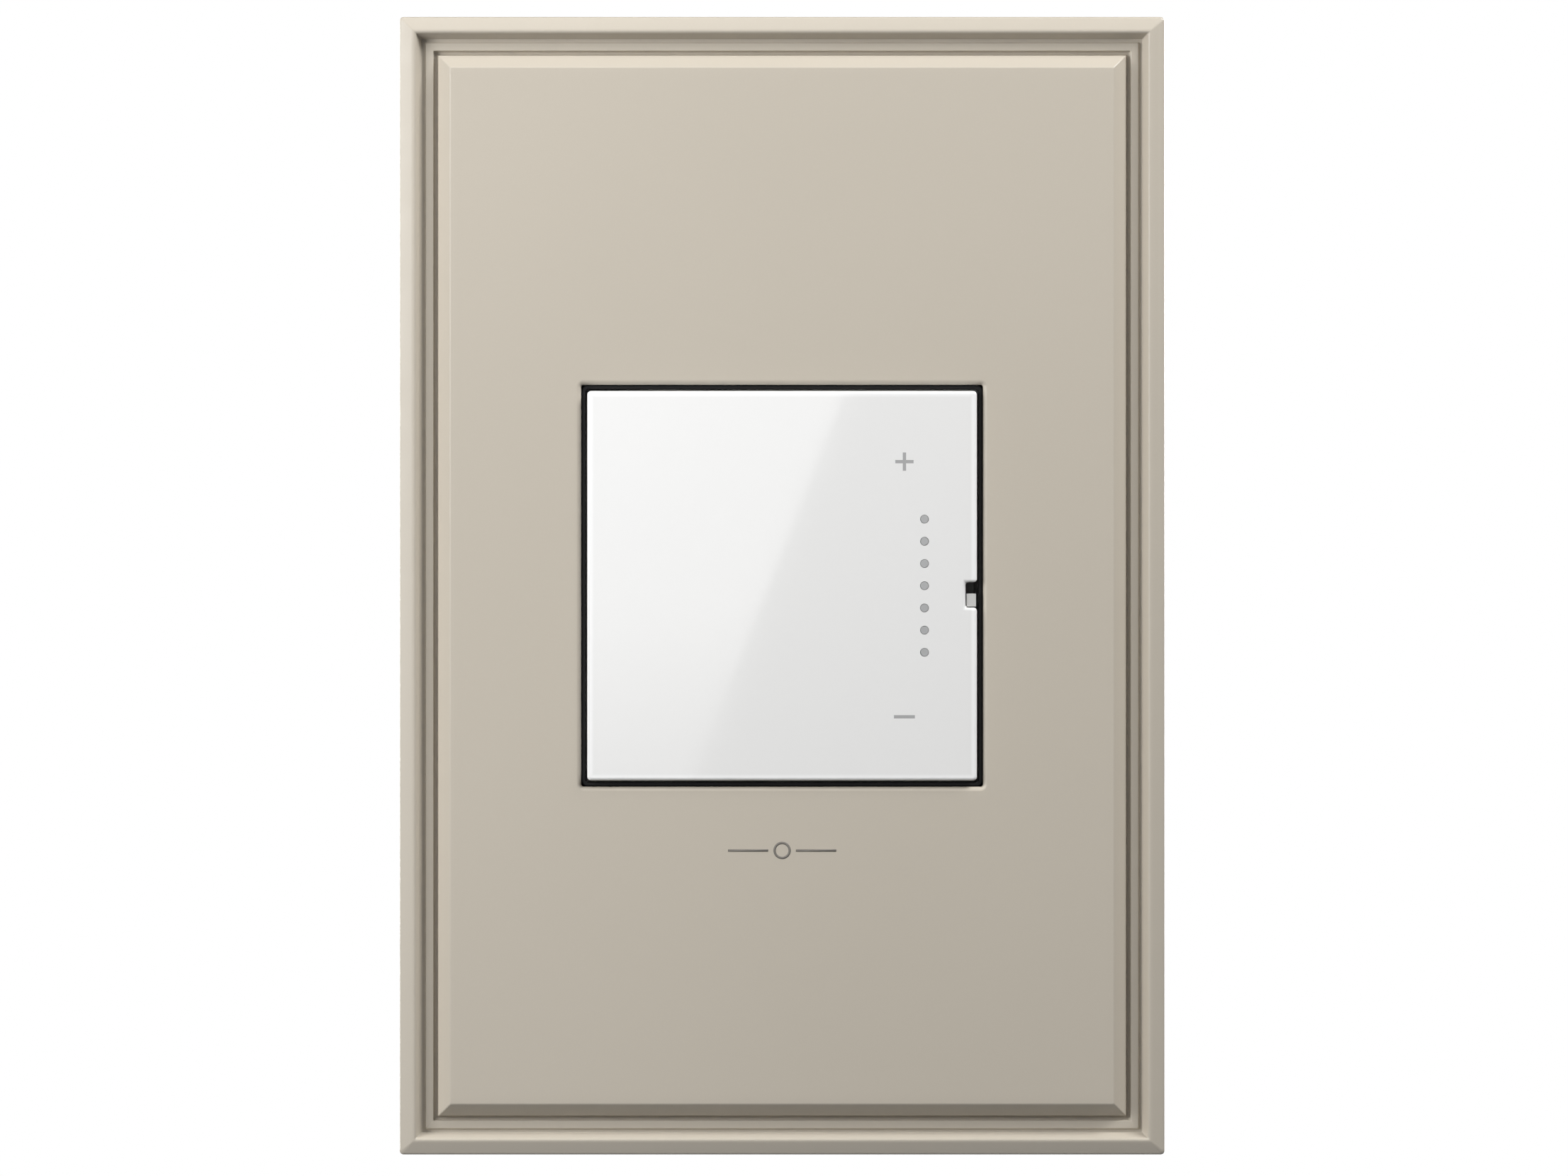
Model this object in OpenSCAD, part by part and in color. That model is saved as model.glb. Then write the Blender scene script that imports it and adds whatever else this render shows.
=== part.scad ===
// Wall-mounted touch dimmer with a clip-on wall plate, in millimetres.
// X runs to the right, Y runs into the wall and Z up. The wall's surface is the plane y = 0, so the
// plate and the touch face lie at negative y and the body inside the wall box at positive y.

/* [Wall plate] */
// Width of the wall plate
plate_w = 87.6; // [86:0.1:92]
// Height of the wall plate
plate_h = 130.3; // [129:0.1:136]
// Height of the plate's flat field above the wall
field_h = 7.8; // [7.8:0.1:8.2]
// Width and height of the plate's square window
window_w = 46; // [45.9:0.1:46.6]
// Radius of the plate's four outer corners
plate_corner_r = 0.8; // [0.5:0.1:1.5]
// Thickness of the plate's walls
plate_wall = 2.0; // [1.8:0.1:2.2]

/* [Touch face] */
// Width and height of the glossy touch face
face_w = 44.6; // [44.4:0.1:44.8]
// How far the touch face stands out of the plate's field
face_proud = 0.6; // [0.4:0.1:1]
// Diameter of one level light
dot_d = 0.9; // [0.7:0.1:1]
// Distance from one level light to the next
dot_pitch = 2.54; // [2.4:0.02:2.6]
// Number of level lights
dot_count = 7; // [3:2:7]
// How far the row of level lights is to the right of the middle
dot_x = 16.3; // [15.5:0.1:17]

/* [Body in the wall box] */
// Width and height of the body that passes through the strap
body_w = 44; // [43.6:0.1:44.2]
// Depth of the body behind the wall's surface
body_d = 34; // [33:0.5:40]
// Distance between the two screws that hold the strap to the wall box
box_screw_span = 83.34; // [83:0.02:84]

/* [Hidden] */
$fn = 48;
eps = 0.02;

// Depths of the front stack, as y values.
field_y = -field_h;
face_y = field_y - face_proud;
lens_t = 1.6;
lens_back_y = face_y + lens_t;
film_t = 0.25;
film_back_y = lens_back_y + film_t;
liner_front_y = field_y + plate_wall;
liner_t = 1.4;
liner_back_y = liner_front_y + liner_t;
flange_front_y = -3;
strap_t = 1.2;
strap_y = -strap_t;
board_y = [-4.8, -3.8];

// The plate's edge moulding: a bead, a flat step, a groove and a bevel up to the field.
bead_out_r = 1.2;
bead_in_r = 1.9;
bead_h = field_h - 0.2;
step_h = field_h - 1.5;
groove_d = 0.35;
bevel_start = 4.4;
bevel_end = 5.8;
ring_w = 6.8;
ring_ceiling = field_h - 3.5;

// The touch face.
mark_x = 14;
plus_z = 14.2;
minus_z = -15;
mark_stroke = 0.38;
mark_depth = 0.3;
notch_x = 21;
notch_z = [-2.5, 0.4];

// The module's shells.
bezel_w = face_w - 0.2;
flange_w = 50;
cavity_w = 41.6;
ledge_w = 39.6;
body_wall = 1.6;
inner_w = body_w - 2 * body_wall;
corner_screw = 17.6;
corner_screw_r = 1.1;
strap_w = 74;
strap_h = 106;
strap_window = 45;
plate_clip_x = 30;
plate_clip_z = 36;
sheet_y = [-0.15, 0.15];
spreader_y = [0.15, 1.7];
power_y = [12, 13.6];

// The side terminals, described on the right-hand side.
terminal_z = 9;
terminal_y = 22;
pocket_half = 4.6;
pocket_floor = 15;
pocket_y = 16;
pocket_wall = 1.2;
terminal_x = [15.4, 16.6];
clamp_x = [16.9, 17.9];
head_x = [17.95, 19.75];
terminal_screw_r = 1.95;

// The air gap switch: a slider on the right, which turns a contact arm about an upright pin.
arm_pivot = [9, 6];
arm_tail_x = 19.6;
arm_contact_x = 1.2;
arm_z = [-2.2, 0.8];
stem_x = [18.8, 20];
stem_z = [-1.9, 0.5];
bezel_slot_z = [-2.8, 0.8];
arm_pin_r = 0.6;

// ---------------------------------------------------------------- shapes

// A block given by its limits along each axis.
module block(x, y, z) {
    translate([x[0], y[0], z[0]]) cube([x[1] - x[0], y[1] - y[0], z[1] - z[0]]);
}

// Extrudes an outline, drawn as seen from the front in x and z, from y[0] to y[1].
module along_y(y) {
    translate([0, y[1], 0]) rotate([90, 0, 0]) linear_extrude(y[1] - y[0]) children();
}

// Extrudes an outline, drawn in y and z, from x[0] to x[1].
module along_x(x) {
    translate([x[0], 0, 0]) rotate([90, 0, 90]) linear_extrude(x[1] - x[0]) children();
}

// A round rod along one axis: at is its place on the other two.
module rod_y(at, r, y) {
    translate([at[0], y[1], at[1]]) rotate([90, 0, 0]) cylinder(r = r, h = y[1] - y[0]);
}

module rod_x(at, r, x) {
    translate([x[0], at[0], at[1]]) rotate([0, 90, 0]) cylinder(r = r, h = x[1] - x[0]);
}

module rod_z(at, r, z) {
    translate([at[0], at[1], z[0]]) cylinder(r = r, h = z[1] - z[0]);
}

// A rectangle with rounded corners, centred.
module rounded_rect(w, h, r) {
    square([w - 2 * r, h], center = true);
    square([w, h - 2 * r], center = true);
    for (x = [-1, 1], z = [-1, 1]) translate([x * (w / 2 - r), z * (h / 2 - r)]) circle(r);
}

// Points of an arc from angle a0 to a1.
function arc(c, r, a0, a1, n) =
    [for (i = [0:n]) let (a = a0 + (a1 - a0) * i / n) [c[0] + r * cos(a), c[1] + r * sin(a)]];

// A mitred ring whose section is given as [distance in from the edge, height above the wall].
module mitred_ring(w, h, section, depth) {
    for (side = [0:3]) {
        long = side % 2 == 0 ? w : h;
        half = side % 2 == 0 ? h / 2 : w / 2;
        rotate([0, 90 * side, 0]) intersection() {
            along_x([-long / 2, long / 2]) polygon([for (p = section) [-p[1], half - p[0]]]);
            along_y([-field_h - 2, 2]) polygon([
                [-long / 2, half], [long / 2, half],
                [long / 2 - depth, half - depth], [depth - long / 2, half - depth]
            ]);
        }
    }
}

// Copies to the four corners of a rectangle of half sizes x and z.
module four_corners(x, z) {
    for (a = [-1, 1], b = [-1, 1]) translate([a * x, 0, b * z]) children();
}

// ---------------------------------------------------------------- wall plate

function plate_section() = concat(
    [[0, 0]],
    arc([bead_out_r, bead_h - bead_out_r], bead_out_r, 180, 90, 6),
    arc([bead_out_r, bead_h - bead_in_r], bead_in_r, 80, 20, 6),
    [
        [3.05, step_h], [3.95, step_h], [4.1, step_h - groove_d], [4.25, step_h - groove_d],
        [bevel_start, step_h], [bevel_end, field_h], [ring_w, field_h],
        [ring_w, field_h - plate_wall], [6.2, field_h - plate_wall],
        [4.9, ring_ceiling], [plate_wall, ring_ceiling], [plate_wall, 0]
    ]
);

stake_places = [[34, 18], [34, 50], [12, 52]];

module wall_plate() {
    color("#bfb6a8") difference() {
        union() {
            intersection() {
                mitred_ring(plate_w, plate_h, plate_section(), ring_w);
                along_y([-field_h - 1, 1]) rounded_rect(plate_w, plate_h, plate_corner_r);
            }
            along_y([field_y, liner_front_y])
                square([plate_w - 2 * ring_w, plate_h - 2 * ring_w], center = true);
            for (p = stake_places) four_corners(p[0], p[1]) plate_stake();
        }
        along_y([field_y - 1, 1]) square(window_w, center = true);
        block([-6, 6], [-1.4, 1], [-plate_h / 2 - 1, plate_wall + 1 - plate_h / 2]);
        mitred_ring(
            window_w + 1, window_w + 1,
            [[0, field_h + eps], [0.5, field_h - 0.5], [0.6, field_h - 0.5], [0.6, field_h + eps]], 0.6
        );
    }
}

// A melted stake that holds the liner to the plate.
module plate_stake() {
    rod_y([0, 0], 1.2, [liner_front_y - 0.5, liner_back_y + 0.3]);
    rod_y([0, 0], 1.9, [liner_back_y, liner_back_y + 0.6]);
}

// The black inner frame: it shows as the dark line round the touch face.
module plate_liner() {
    rim_out = window_w - 0.2;
    rim_in = face_w + 0.5;
    color("#141414") {
        difference() {
            union() {
                along_y([liner_front_y, liner_back_y]) rounded_rect(74, 116, 3);
                along_y([field_y + 0.6, liner_front_y + eps]) rounded_rect(rim_out, rim_out, 0.6);
            }
            along_y([field_y - 1, 1]) rounded_rect(rim_in, rim_in, 0.4);
            for (p = stake_places) four_corners(p[0], p[1]) rod_y([0, 0], 1.2, [liner_front_y - 1, 1]);
        }
        four_corners(plate_clip_x, plate_clip_z) translate([0, liner_back_y, 0]) liner_peg();
    }
}

// A peg with a swollen head, which the strap's spring clips grip.
module liner_peg() {
    rotate([-90, 0, 0]) rotate_extrude() polygon([
        [0, -eps], [1.3, -eps], [1.3, 1.0], [1.8, 1.6], [1.8, 1.9], [1.1, 2.5], [0, 2.5]
    ]);
}

// ---------------------------------------------------------------- strap

module mounting_strap() {
    color("#c3c6c8") difference() {
        union() {
            along_y([strap_y, 0]) rounded_rect(strap_w, strap_h, 3);
            for (s = [-1, 1])
                block(s > 0 ? [strap_w / 2 - 1, strap_w / 2] : [-strap_w / 2, 1 - strap_w / 2],
                      [-3.6, strap_y + eps], [-46, 46]);
        }
        along_y([-2, 1]) square(strap_window, center = true);
        for (s = [-1, 1]) along_y([-2, 1]) translate([0, s * box_screw_span / 2])
            screw_slot(7.5, 4.2);
        for (s = [-1, 1], t = [-1, 1]) along_y([-2, 1]) translate([s * 24, t * 47])
            screw_slot(9, 3.4);
    }
}

module screw_slot(length, width) {
    square([length - width, width], center = true);
    for (s = [-1, 1]) translate([s * (length - width) / 2, 0]) circle(d = width);
}

module box_screws() {
    color("#d6d4cc") for (s = [-1, 1]) translate([0, 0, s * box_screw_span / 2]) difference() {
        union() {
            rod_y([0, 0], 1.35, [strap_y, eps]);
            rod_y([0, 0], 1.75, [0, 24]);
            rotate([90, 0, 0]) translate([0, 0, strap_t]) cylinder(r1 = 3.5, r2 = 2.9, h = 1.7);
            translate([0, 24 - eps, 0]) rotate([-90, 0, 0]) cylinder(r1 = 1.75, r2 = 1.1, h = 1);
        }
        block([-4, 4], [-4, -2.1], [-0.4, 0.4]);
        block([-0.4, 0.4], [-4, -2.1], [-1.6, 1.6]);
    }
}

// Spring clips on the strap, one round each of the liner's pegs.
module plate_spring_clips() {
    color("#b9bcc2") four_corners(plate_clip_x, plate_clip_z) {
        block([-3.4, 3.4], [strap_y - 0.4, strap_y], [-2.4, 2.4]);
        for (s = [0, 1]) mirror([s, 0, 0]) translate([0, 0, -2]) linear_extrude(4) polygon([
            [1.9, -1.6 + eps], [1.9, -2.9], [1.42, -3.45], [1.85, -3.9],
            [2.2, -3.9], [1.85, -3.45], [2.3, -2.9], [2.3, -1.6 + eps]
        ]);
    }
}

// Clips on the body's top and bottom, which spring out behind the strap's window.
module module_clips() {
    h = body_w / 2;
    color("#aeb3b8") for (s = [0, 1]) mirror([0, 0, s]) {
        along_x([-6, 6]) polygon([
            [15, h], [15, h + 0.4], [5.5, h + 0.4], [0.5, h + 1.8],
            [0.1, h + 1.8], [0.1, h + 1.4], [5, h]
        ]);
    }
}

// The earth strip from the ground terminal to the back of the strap.
module ground_strip() {
    out = body_w / 2;
    color("#b8893a") {
        block([-out - 0.4, -out - 0.05], [0.05, 16.5], [-terminal_z - 2, -terminal_z + 2]);
        block([-out - 3, -out - 0.05], [0, 0.45], [-terminal_z - 2, -terminal_z + 2]);
        block([-out - 0.4, -terminal_x[1]], [16.1, 16.5], [-terminal_z - 2, -terminal_z + 2]);
    }
}

// ---------------------------------------------------------------- touch face

module touch_lens() {
    half = face_w / 2;
    color("#f2f2f2") difference() {
        along_y([face_y, lens_back_y]) rounded_rect(face_w, face_w, 0.6);
        for (z = dot_places()) rod_y([dot_x, z], dot_d / 2 + 0.05, [face_y - 1, lens_back_y + 1]);
        block([notch_x, half + 1], [face_y - 1, lens_back_y + 1], notch_z);
        marks([face_y - 1, face_y + mark_depth]);
    }
}

function dot_places() = [for (i = [0:dot_count - 1]) (i - (dot_count - 1) / 2) * dot_pitch];

// The plus and minus marks.
module marks(y) {
    s = mark_stroke / 2;
    block([mark_x - 1.05, mark_x + 1.05], y, [plus_z - s, plus_z + s]);
    block([mark_x - s, mark_x + s], y, [plus_z - 1.05, plus_z + 1.05]);
    block([mark_x - 1.2, mark_x + 1.2], y, [minus_z - s, minus_z + s]);
}

module touch_marks() {
    color("#a9a9aa") marks([face_y, face_y + mark_depth]);
}

module light_guide() {
    color("#d9dcdc") {
        block([dot_x - 1, dot_x + 1], [film_back_y, film_back_y + 0.8], [-9, 9]);
        for (z = dot_places()) rod_y([dot_x, z], dot_d / 2, [face_y, film_back_y + eps]);
    }
}

module sensor_film() {
    color("#c98f4a") difference() {
        block([-20, 18.2], [lens_back_y, film_back_y], [-20, 20]);
        for (z = dot_places()) rod_y([dot_x, z], dot_d / 2 + 0.1, [lens_back_y - 1, film_back_y + 1]);
    }
}

// Conductive rubber columns that carry the film's signals to the control board.
module sensor_contacts() {
    color("#3a3a3c") for (p = [[-15, 12], [-15, -12], [3, 12]])
        rod_y(p, 1.3, [film_back_y, board_y[0]]);
}

module led_shroud() {
    color("#1b1b1d") difference() {
        block([dot_x - 1.6, dot_x + 1.6], [board_y[0] - 0.85, board_y[0]], [-9.6, 9.6]);
        for (z = dot_places())
            block([dot_x - 1.1, dot_x + 1.1], [board_y[0] - 2, board_y[0] + 1], [z - 0.9, z + 0.9]);
    }
}

module level_leds() {
    color("#f0ecd8") for (z = dot_places())
        block([dot_x - 0.8, dot_x + 0.8], [board_y[0] - 0.6, board_y[0]], [z - 0.4, z + 0.4]);
}

module control_board() {
    w = cavity_w / 2 - 0.2;
    color("#2f6b3c") difference() {
        block([-w, w], board_y, [-w, w]);
        block([18.3, w + 1], [board_y[0] - 1, board_y[1] + 1], [-2.5, 1.1]);
    }
}

module control_chips() {
    color("#222326") {
        block([-6.5, -0.5], [board_y[1], board_y[1] + 0.9], [0, 6]);
        block([5, 9], [board_y[1], board_y[1] + 0.9], [-9, -4]);
        block([-12, -9], [board_y[1], board_y[1] + 0.7], [-6, -3]);
    }
}

// Pins in two plastic bars, from the control board to the power board.
module board_header() {
    color("#1d1d20") {
        block([-7, 7], [board_y[1], board_y[1] + 2.2], [16.9, 19.1]);
        block([-7, 7], [power_y[0] - 2.4, power_y[0]], [16.9, 19.1]);
        for (i = [0:4]) block(
            [-5.08 + 2.54 * i - 0.32, -5.08 + 2.54 * i + 0.32],
            [board_y[1] + 1, power_y[0] - 1], [17.68, 18.32]
        );
    }
}

// ---------------------------------------------------------------- module shells

module front_bezel() {
    color("#ececea") difference() {
        union() {
            along_y([lens_back_y, flange_front_y]) rounded_rect(bezel_w, bezel_w, 0.6);
            along_y([flange_front_y - eps, strap_y]) rounded_rect(flange_w, flange_w, 2);
            four_corners(corner_screw, corner_screw) rod_y([0, 0], 2.6, [flange_front_y, sheet_y[0]]);
        }
        along_y([lens_back_y - 1, board_y[1]]) square(cavity_w, center = true);
        difference() {
            along_y([board_y[1] - eps, 1]) square(ledge_w, center = true);
            four_corners(corner_screw, corner_screw) rod_y([0, 0], 2.6, [board_y[1] - 1, 2]);
        }
        four_corners(corner_screw, corner_screw)
            rod_y([0, 0], corner_screw_r, [board_y[1] + 0.4, 1]);
        block([18.5, face_w], [lens_back_y - 1, flange_front_y + eps], bezel_slot_z);
        block([18.5, 22.4], [flange_front_y - eps, -1.9], bezel_slot_z);
        block([18.5, 20.3], [-2, 1], bezel_slot_z);
    }
}

// Cuts for the air gap stem, the header and the corner screws in a sheet behind the bezel.
module sheet_cuts(y) {
    block([18.4, 30], y, [-2.3, 0.9]);
    block([-7.6, 7.6], y, [16.5, 30]);
    four_corners(corner_screw, corner_screw) rod_y([0, 0], corner_screw_r + 0.3, y);
}

module insulating_sheet() {
    color("#e6dfc4") difference() {
        block([-20, 20], sheet_y, [-20, 20]);
        sheet_cuts([-1, 1]);
    }
}

module heat_spreader() {
    color("#b7babd") difference() {
        block([-20.2, 20.2], spreader_y, [-20.2, 20.2]);
        sheet_cuts([0, 2]);
    }
}

module rear_housing() {
    back = body_d;
    color("#26272a") difference() {
        union() {
            difference() {
                along_y([strap_y, back]) rounded_rect(body_w, body_w, 1);
                block([-inner_w / 2, inner_w / 2], [strap_y - 1, back - body_wall], [-inner_w / 2, inner_w / 2]);
            }
            for (s = [-1, 1], t = [-1, 1]) intersection() {
                rod_y([s * corner_screw, t * corner_screw], 3.1, [spreader_y[1], back - 0.5]);
                along_y([0, back]) rounded_rect(body_w, body_w, 1);
            }
            for (s = [0, 1], t = [-1, 1]) mirror([s, 0, 0]) translate([0, 0, t * terminal_z]) pocket_walls();
            slider_guides();
        }
        for (s = [0, 1], t = [-1, 1]) mirror([s, 0, 0]) translate([0, 0, t * terminal_z]) pocket_cut();
        along_y([back - 0.4, back + 1]) rounded_rect(25, 17, 1.5);
        block([-6, 6], [back - 0.8, back + 1], [14.2, 15.2]);
        for (x = [-6, 6]) block([x - 0.5, x + 0.5], [back - 0.8, back + 1], [13, 16.4]);
        for (s = [-1, 1], y = [21:2.4:30.6])
            block([-12, 12], [y, y + 1], s > 0 ? [body_w / 2 - 0.4, body_w] : [-body_w, 0.4 - body_w / 2]);
        four_corners(corner_screw, corner_screw) {
            rod_y([0, 0], corner_screw_r + 0.15, [0, back + 1]);
            rod_y([0, 0], 2.2, [back - 2.4, back + 1]);
        }
    }
}

// The solid round one terminal pocket, on the right, centred on z = 0.
module pocket_walls() {
    block(
        [pocket_floor - pocket_wall, body_w / 2 - 0.5], [pocket_y - pocket_wall, body_d - 0.5],
        [-pocket_half - pocket_wall, pocket_half + pocket_wall]
    );
}

module pocket_cut() {
    block([pocket_floor, body_w], [pocket_y, body_d + 1], [-pocket_half, pocket_half]);
    rod_x([terminal_y, 0], 2.6, [pocket_floor - pocket_wall - 1, pocket_floor + 1]);
    block(terminal_x, [pocket_y - pocket_wall - 1, pocket_y + 1], [-1.6, 1.6]);
}

// Two ribs that guide the air gap slider's stem.
module slider_guides() {
    for (z = [[0.7, 1.7], [-3.1, -2.1]]) block([18.9, inner_w / 2 + eps], [spreader_y[1], power_y[0] - 0.5], z);
}

module housing_screws() {
    color("#8f9296") four_corners(corner_screw, corner_screw) difference() {
        union() {
            rod_y([0, 0], corner_screw_r, [board_y[1] + 0.6, body_d - 2.4]);
            rod_y([0, 0], 2.0, [body_d - 2.4, body_d - 0.9]);
        }
        block([-1.4, 1.4], [body_d - 1.7, body_d], [-0.3, 0.3]);
        block([-0.3, 0.3], [body_d - 1.7, body_d], [-1.4, 1.4]);
    }
}

// ---------------------------------------------------------------- power stage

transistor_z = 9.5;
transistor_x = -9;
tab_y = spreader_y[1] + 0.2;

module thermal_pads() {
    color("#c9c4ba") for (z = [-1, 1]) difference() {
        block([transistor_x - 5.4, transistor_x + 5.4], [spreader_y[1], tab_y],
              [z * transistor_z - 8, z * transistor_z + 8]);
        rod_y([transistor_x, z * transistor_z + 5.2], 1.6, [0, 3]);
    }
}

module transistor_tabs() {
    color("#c8c9cb") for (z = [-1, 1]) translate([transistor_x, 0, z * transistor_z]) difference() {
        block([-5, 5], [tab_y, tab_y + 1.3], [-7.6, 7.6]);
        rod_y([0, 5.2], 1.8, [0, 6]);
    }
}

module power_transistors() {
    color("#1e1f22") for (z = [-1, 1]) translate([transistor_x, 0, z * transistor_z]) {
        block([-5, 5], [tab_y + 1.3, tab_y + 4.4], [-7.6, 1.6]);
        for (i = [-1:1])
            block([2.54 * i - 0.4, 2.54 * i + 0.4], [tab_y + 4.3, power_y[0]], [-6.9, -6.3]);
    }
}

module transistor_screws() {
    color("#9ea1a5") for (z = [-1, 1]) translate([transistor_x, 0, z * transistor_z]) difference() {
        union() {
            rod_y([0, 5.2], 1.4, [spreader_y[1], tab_y + 2]);
            rod_y([0, 5.2], 2.7, [tab_y + 1.3, tab_y + 3]);
        }
        block([-2, 2], [tab_y + 2.3, tab_y + 4], [4.9, 5.5]);
    }
}

module power_board() {
    color("#7a6a2c") difference() {
        block([-20.1, 20.1], power_y, [-20.1, 20.1]);
        four_corners(corner_screw, corner_screw) rod_y([0, 0], 3.3, [10, 15]);
        four_corners(corner_screw + 1.6, corner_screw + 1.6) block([-1.7, 1.7], [10, 15], [-1.7, 1.7]);
    }
}

choke_at = [0, 8.6];
choke_wire = 0.9;
choke_y = [power_y[1] + choke_wire, power_y[1] + choke_wire + 7];

module choke_core() {
    color("#3c4a3a") difference() {
        rod_y(choke_at, 8.6, choke_y);
        rod_y(choke_at, 5, [choke_y[0] - 1, choke_y[1] + 1]);
    }
}

// The choke's turns of wire: open rectangular loops round the core, side by side.
module choke_winding() {
    turns = 22;
    wire = choke_wire;
    color("#b5652a") for (i = [0:turns - 1])
        translate([choke_at[0], 0, choke_at[1]]) rotate([0, 360 / turns * i, 0]) difference() {
            block([5 - wire, 8.6 + wire], [choke_y[0] - wire, choke_y[1] + wire], [-wire / 2, wire / 2]);
            block([4.96, 8.62], choke_y, [-2, 2]);
        }
}

module film_capacitor() {
    color("#c9a227") block([-11, 11], [power_y[1], power_y[1] + 13], [-9, -2.2]);
}

module bulk_capacitor() {
    at = [-7, -14.9];
    color("#2b3a55") difference() {
        rod_y(at, 5, [power_y[1], power_y[1] + 15]);
        rod_y(at, 3.8, [power_y[1] + 14.7, power_y[1] + 16]);
    }
}

module varistor() {
    color("#2e5c9a") {
        rod_z([7.5, power_y[1] + 6.6], 5, [-16.6, -12.8]);
        for (s = [-1, 1]) block([7.5 + s * 2.5 - 0.4, 7.5 + s * 2.5 + 0.4], [power_y[1], power_y[1] + 4], [-15.1, -14.3]);
    }
}

fuse_at = [8.8, 13.2];

module fuse_link() {
    color("#e3e0d6") rod_x(fuse_at, 2.2, [-4, 12]);
}

// End caps with feet, so that the fuse stands on the power board.
module fuse_clips() {
    color("#c0c2c4") for (x = [-4, 12]) difference() {
        union() {
            rod_x(fuse_at, 2.6, [x - 1.5, x + 1.5]);
            block([x - 1.5, x + 1.5], [fuse_at[0], power_y[0]], [fuse_at[1] - 1, fuse_at[1] + 1]);
        }
        rod_x(fuse_at, 2.2, [min(x, 12 - 1.5) - 0.01, max(x, -4 + 1.5) + 0.01]);
    }
}

module power_resistors() {
    color("#4c8fa3") for (x = [4, 8, 12]) {
        rod_z([x, 9.6], 1.3, [-17, -9]);
        for (z = [-16, -10]) block([x - 0.35, x + 0.35], [9.6, power_y[0]], [z - 0.35, z + 0.35]);
    }
}

// ---------------------------------------------------------------- air gap switch

module air_gap_slider() {
    link_y = [-3.4, -2.2];
    color("#e4e4e2") difference() {
        union() {
            block([21.1, 22.2], [face_y + 0.3, link_y[1]], [notch_z[0] + 0.1, -0.9]);
            block([stem_x[0], 22.0], link_y, stem_z);
            block(stem_x, [link_y[0], 8.6], stem_z);
        }
        block([stem_x[0] - 1, stem_x[1] + 1], [arm_pivot[1] - 0.6, arm_pivot[1] + 0.6], [-1.45, 0.05]);
    }
}

module air_gap_arm() {
    y = arm_pivot[1];
    color("#c59a48") difference() {
        union() {
            block([0, 17.4], [y - 0.5, y + 0.5], arm_z);
            rod_z(arm_pivot, 1.5, arm_z);
            block([17.3, arm_tail_x], [y - 0.25, y + 0.25], [-1.3, -0.1]);
            rod_z([arm_tail_x, y], 0.5, [-1.3, -0.1]);
        }
        rod_z(arm_pivot, arm_pin_r + 0.06, [-5, 5]);
    }
}

module moving_contact() {
    color("#d9dadb") rod_y([arm_contact_x, -0.7], 1.4, [4.7, arm_pivot[1] - 0.5]);
}

module air_gap_pin() {
    color("#8d9095") rod_z(arm_pivot, arm_pin_r, [-3.6, 2.2]);
}

module air_gap_bracket() {
    x = [arm_pivot[0] - 1.8, arm_pivot[0] + 1.8];
    color("#c9a45c") difference() {
        union() {
            block(x, [4.2, power_y[0]], [1.0, 1.8]);
            block(x, [4.2, power_y[0]], [-3.2, -2.4]);
            block(x, [11.2, power_y[0]], [-3.2, 1.8]);
        }
        rod_z(arm_pivot, arm_pin_r, [-5, 5]);
    }
}

module fixed_contact() {
    x = [-0.8, 3.2];
    color("#c9a45c") {
        block(x, [3, 3.8], [-2.2, 2.6]);
        block(x, [3, power_y[0]], [1.8, 2.6]);
        rod_y([arm_contact_x, -0.7], 1.4, [3.8 - eps, 4.65]);
    }
}

// A coil of round wire along y, from the arm to the power board.
module contact_spring() {
    turns = 5;
    steps = 14;
    sides = 6;
    coil_r = 1.3;
    wire_r = 0.2;
    y0 = arm_pivot[1] + 0.5 + wire_r + 0.05;
    y1 = power_y[0] - wire_r - 0.05;
    rings = turns * steps;
    points = [for (i = [0:rings], k = [0:sides - 1])
        let (a = 360 * i / steps, b = 360 * k / sides, r = coil_r + wire_r * cos(b))
        [2 + r * cos(a), y0 + (y1 - y0) * i / rings + wire_r * sin(b), -0.7 + r * sin(a)]];
    walls = [for (i = [0:rings - 1], k = [0:sides - 1])
        [i * sides + k, i * sides + (k + 1) % sides, (i + 1) * sides + (k + 1) % sides, (i + 1) * sides + k]];
    ends = [[for (k = [0:sides - 1]) sides - 1 - k], [for (k = [0:sides - 1]) rings * sides + k]];
    color("#9b9ea3") polyhedron(points, concat(walls, ends));
}

// ---------------------------------------------------------------- terminals

// Places a terminal's piece: side is 1 on the right and -1 on the left, row is 1 for the upper one.
module at_terminal(side, row) {
    mirror([side > 0 ? 0 : 1, 0, 0]) translate([0, 0, row * terminal_z]) children();
}

// The fixed brass plate with its threaded hole and a leg to the power board.
module terminal_plate() {
    color("#c9a45c") difference() {
        union() {
            block(terminal_x, [pocket_y + 0.6, terminal_y + 5], [-4.2, 4.2]);
            block(terminal_x, [power_y[1], pocket_y + 0.6 + eps], [-1.55, 1.55]);
        }
        rod_x([terminal_y, 0], terminal_screw_r + 0.1, [0, 30]);
    }
}

module clamp_plate() {
    color("#b9bcc0") difference() {
        block(clamp_x, [terminal_y - 4.4, terminal_y + 4.4], [-4.1, 4.1]);
        rod_x([terminal_y, 0], terminal_screw_r + 0.2, [0, 30]);
    }
}

// A binding-head screw with a combined slot and cross recess.
module terminal_screw(colour) {
    color(colour) difference() {
        union() {
            rod_x([terminal_y, 0], 3.6, head_x);
            rod_x([terminal_y, 0], terminal_screw_r, [12.9, head_x[0] + eps]);
        }
        block([head_x[1] - 0.9, head_x[1] + 1], [terminal_y - 5, terminal_y + 5], [-0.45, 0.45]);
        block([head_x[1] - 0.9, head_x[1] + 1], [terminal_y - 0.45, terminal_y + 0.45], [-1.7, 1.7]);
    }
}

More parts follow.
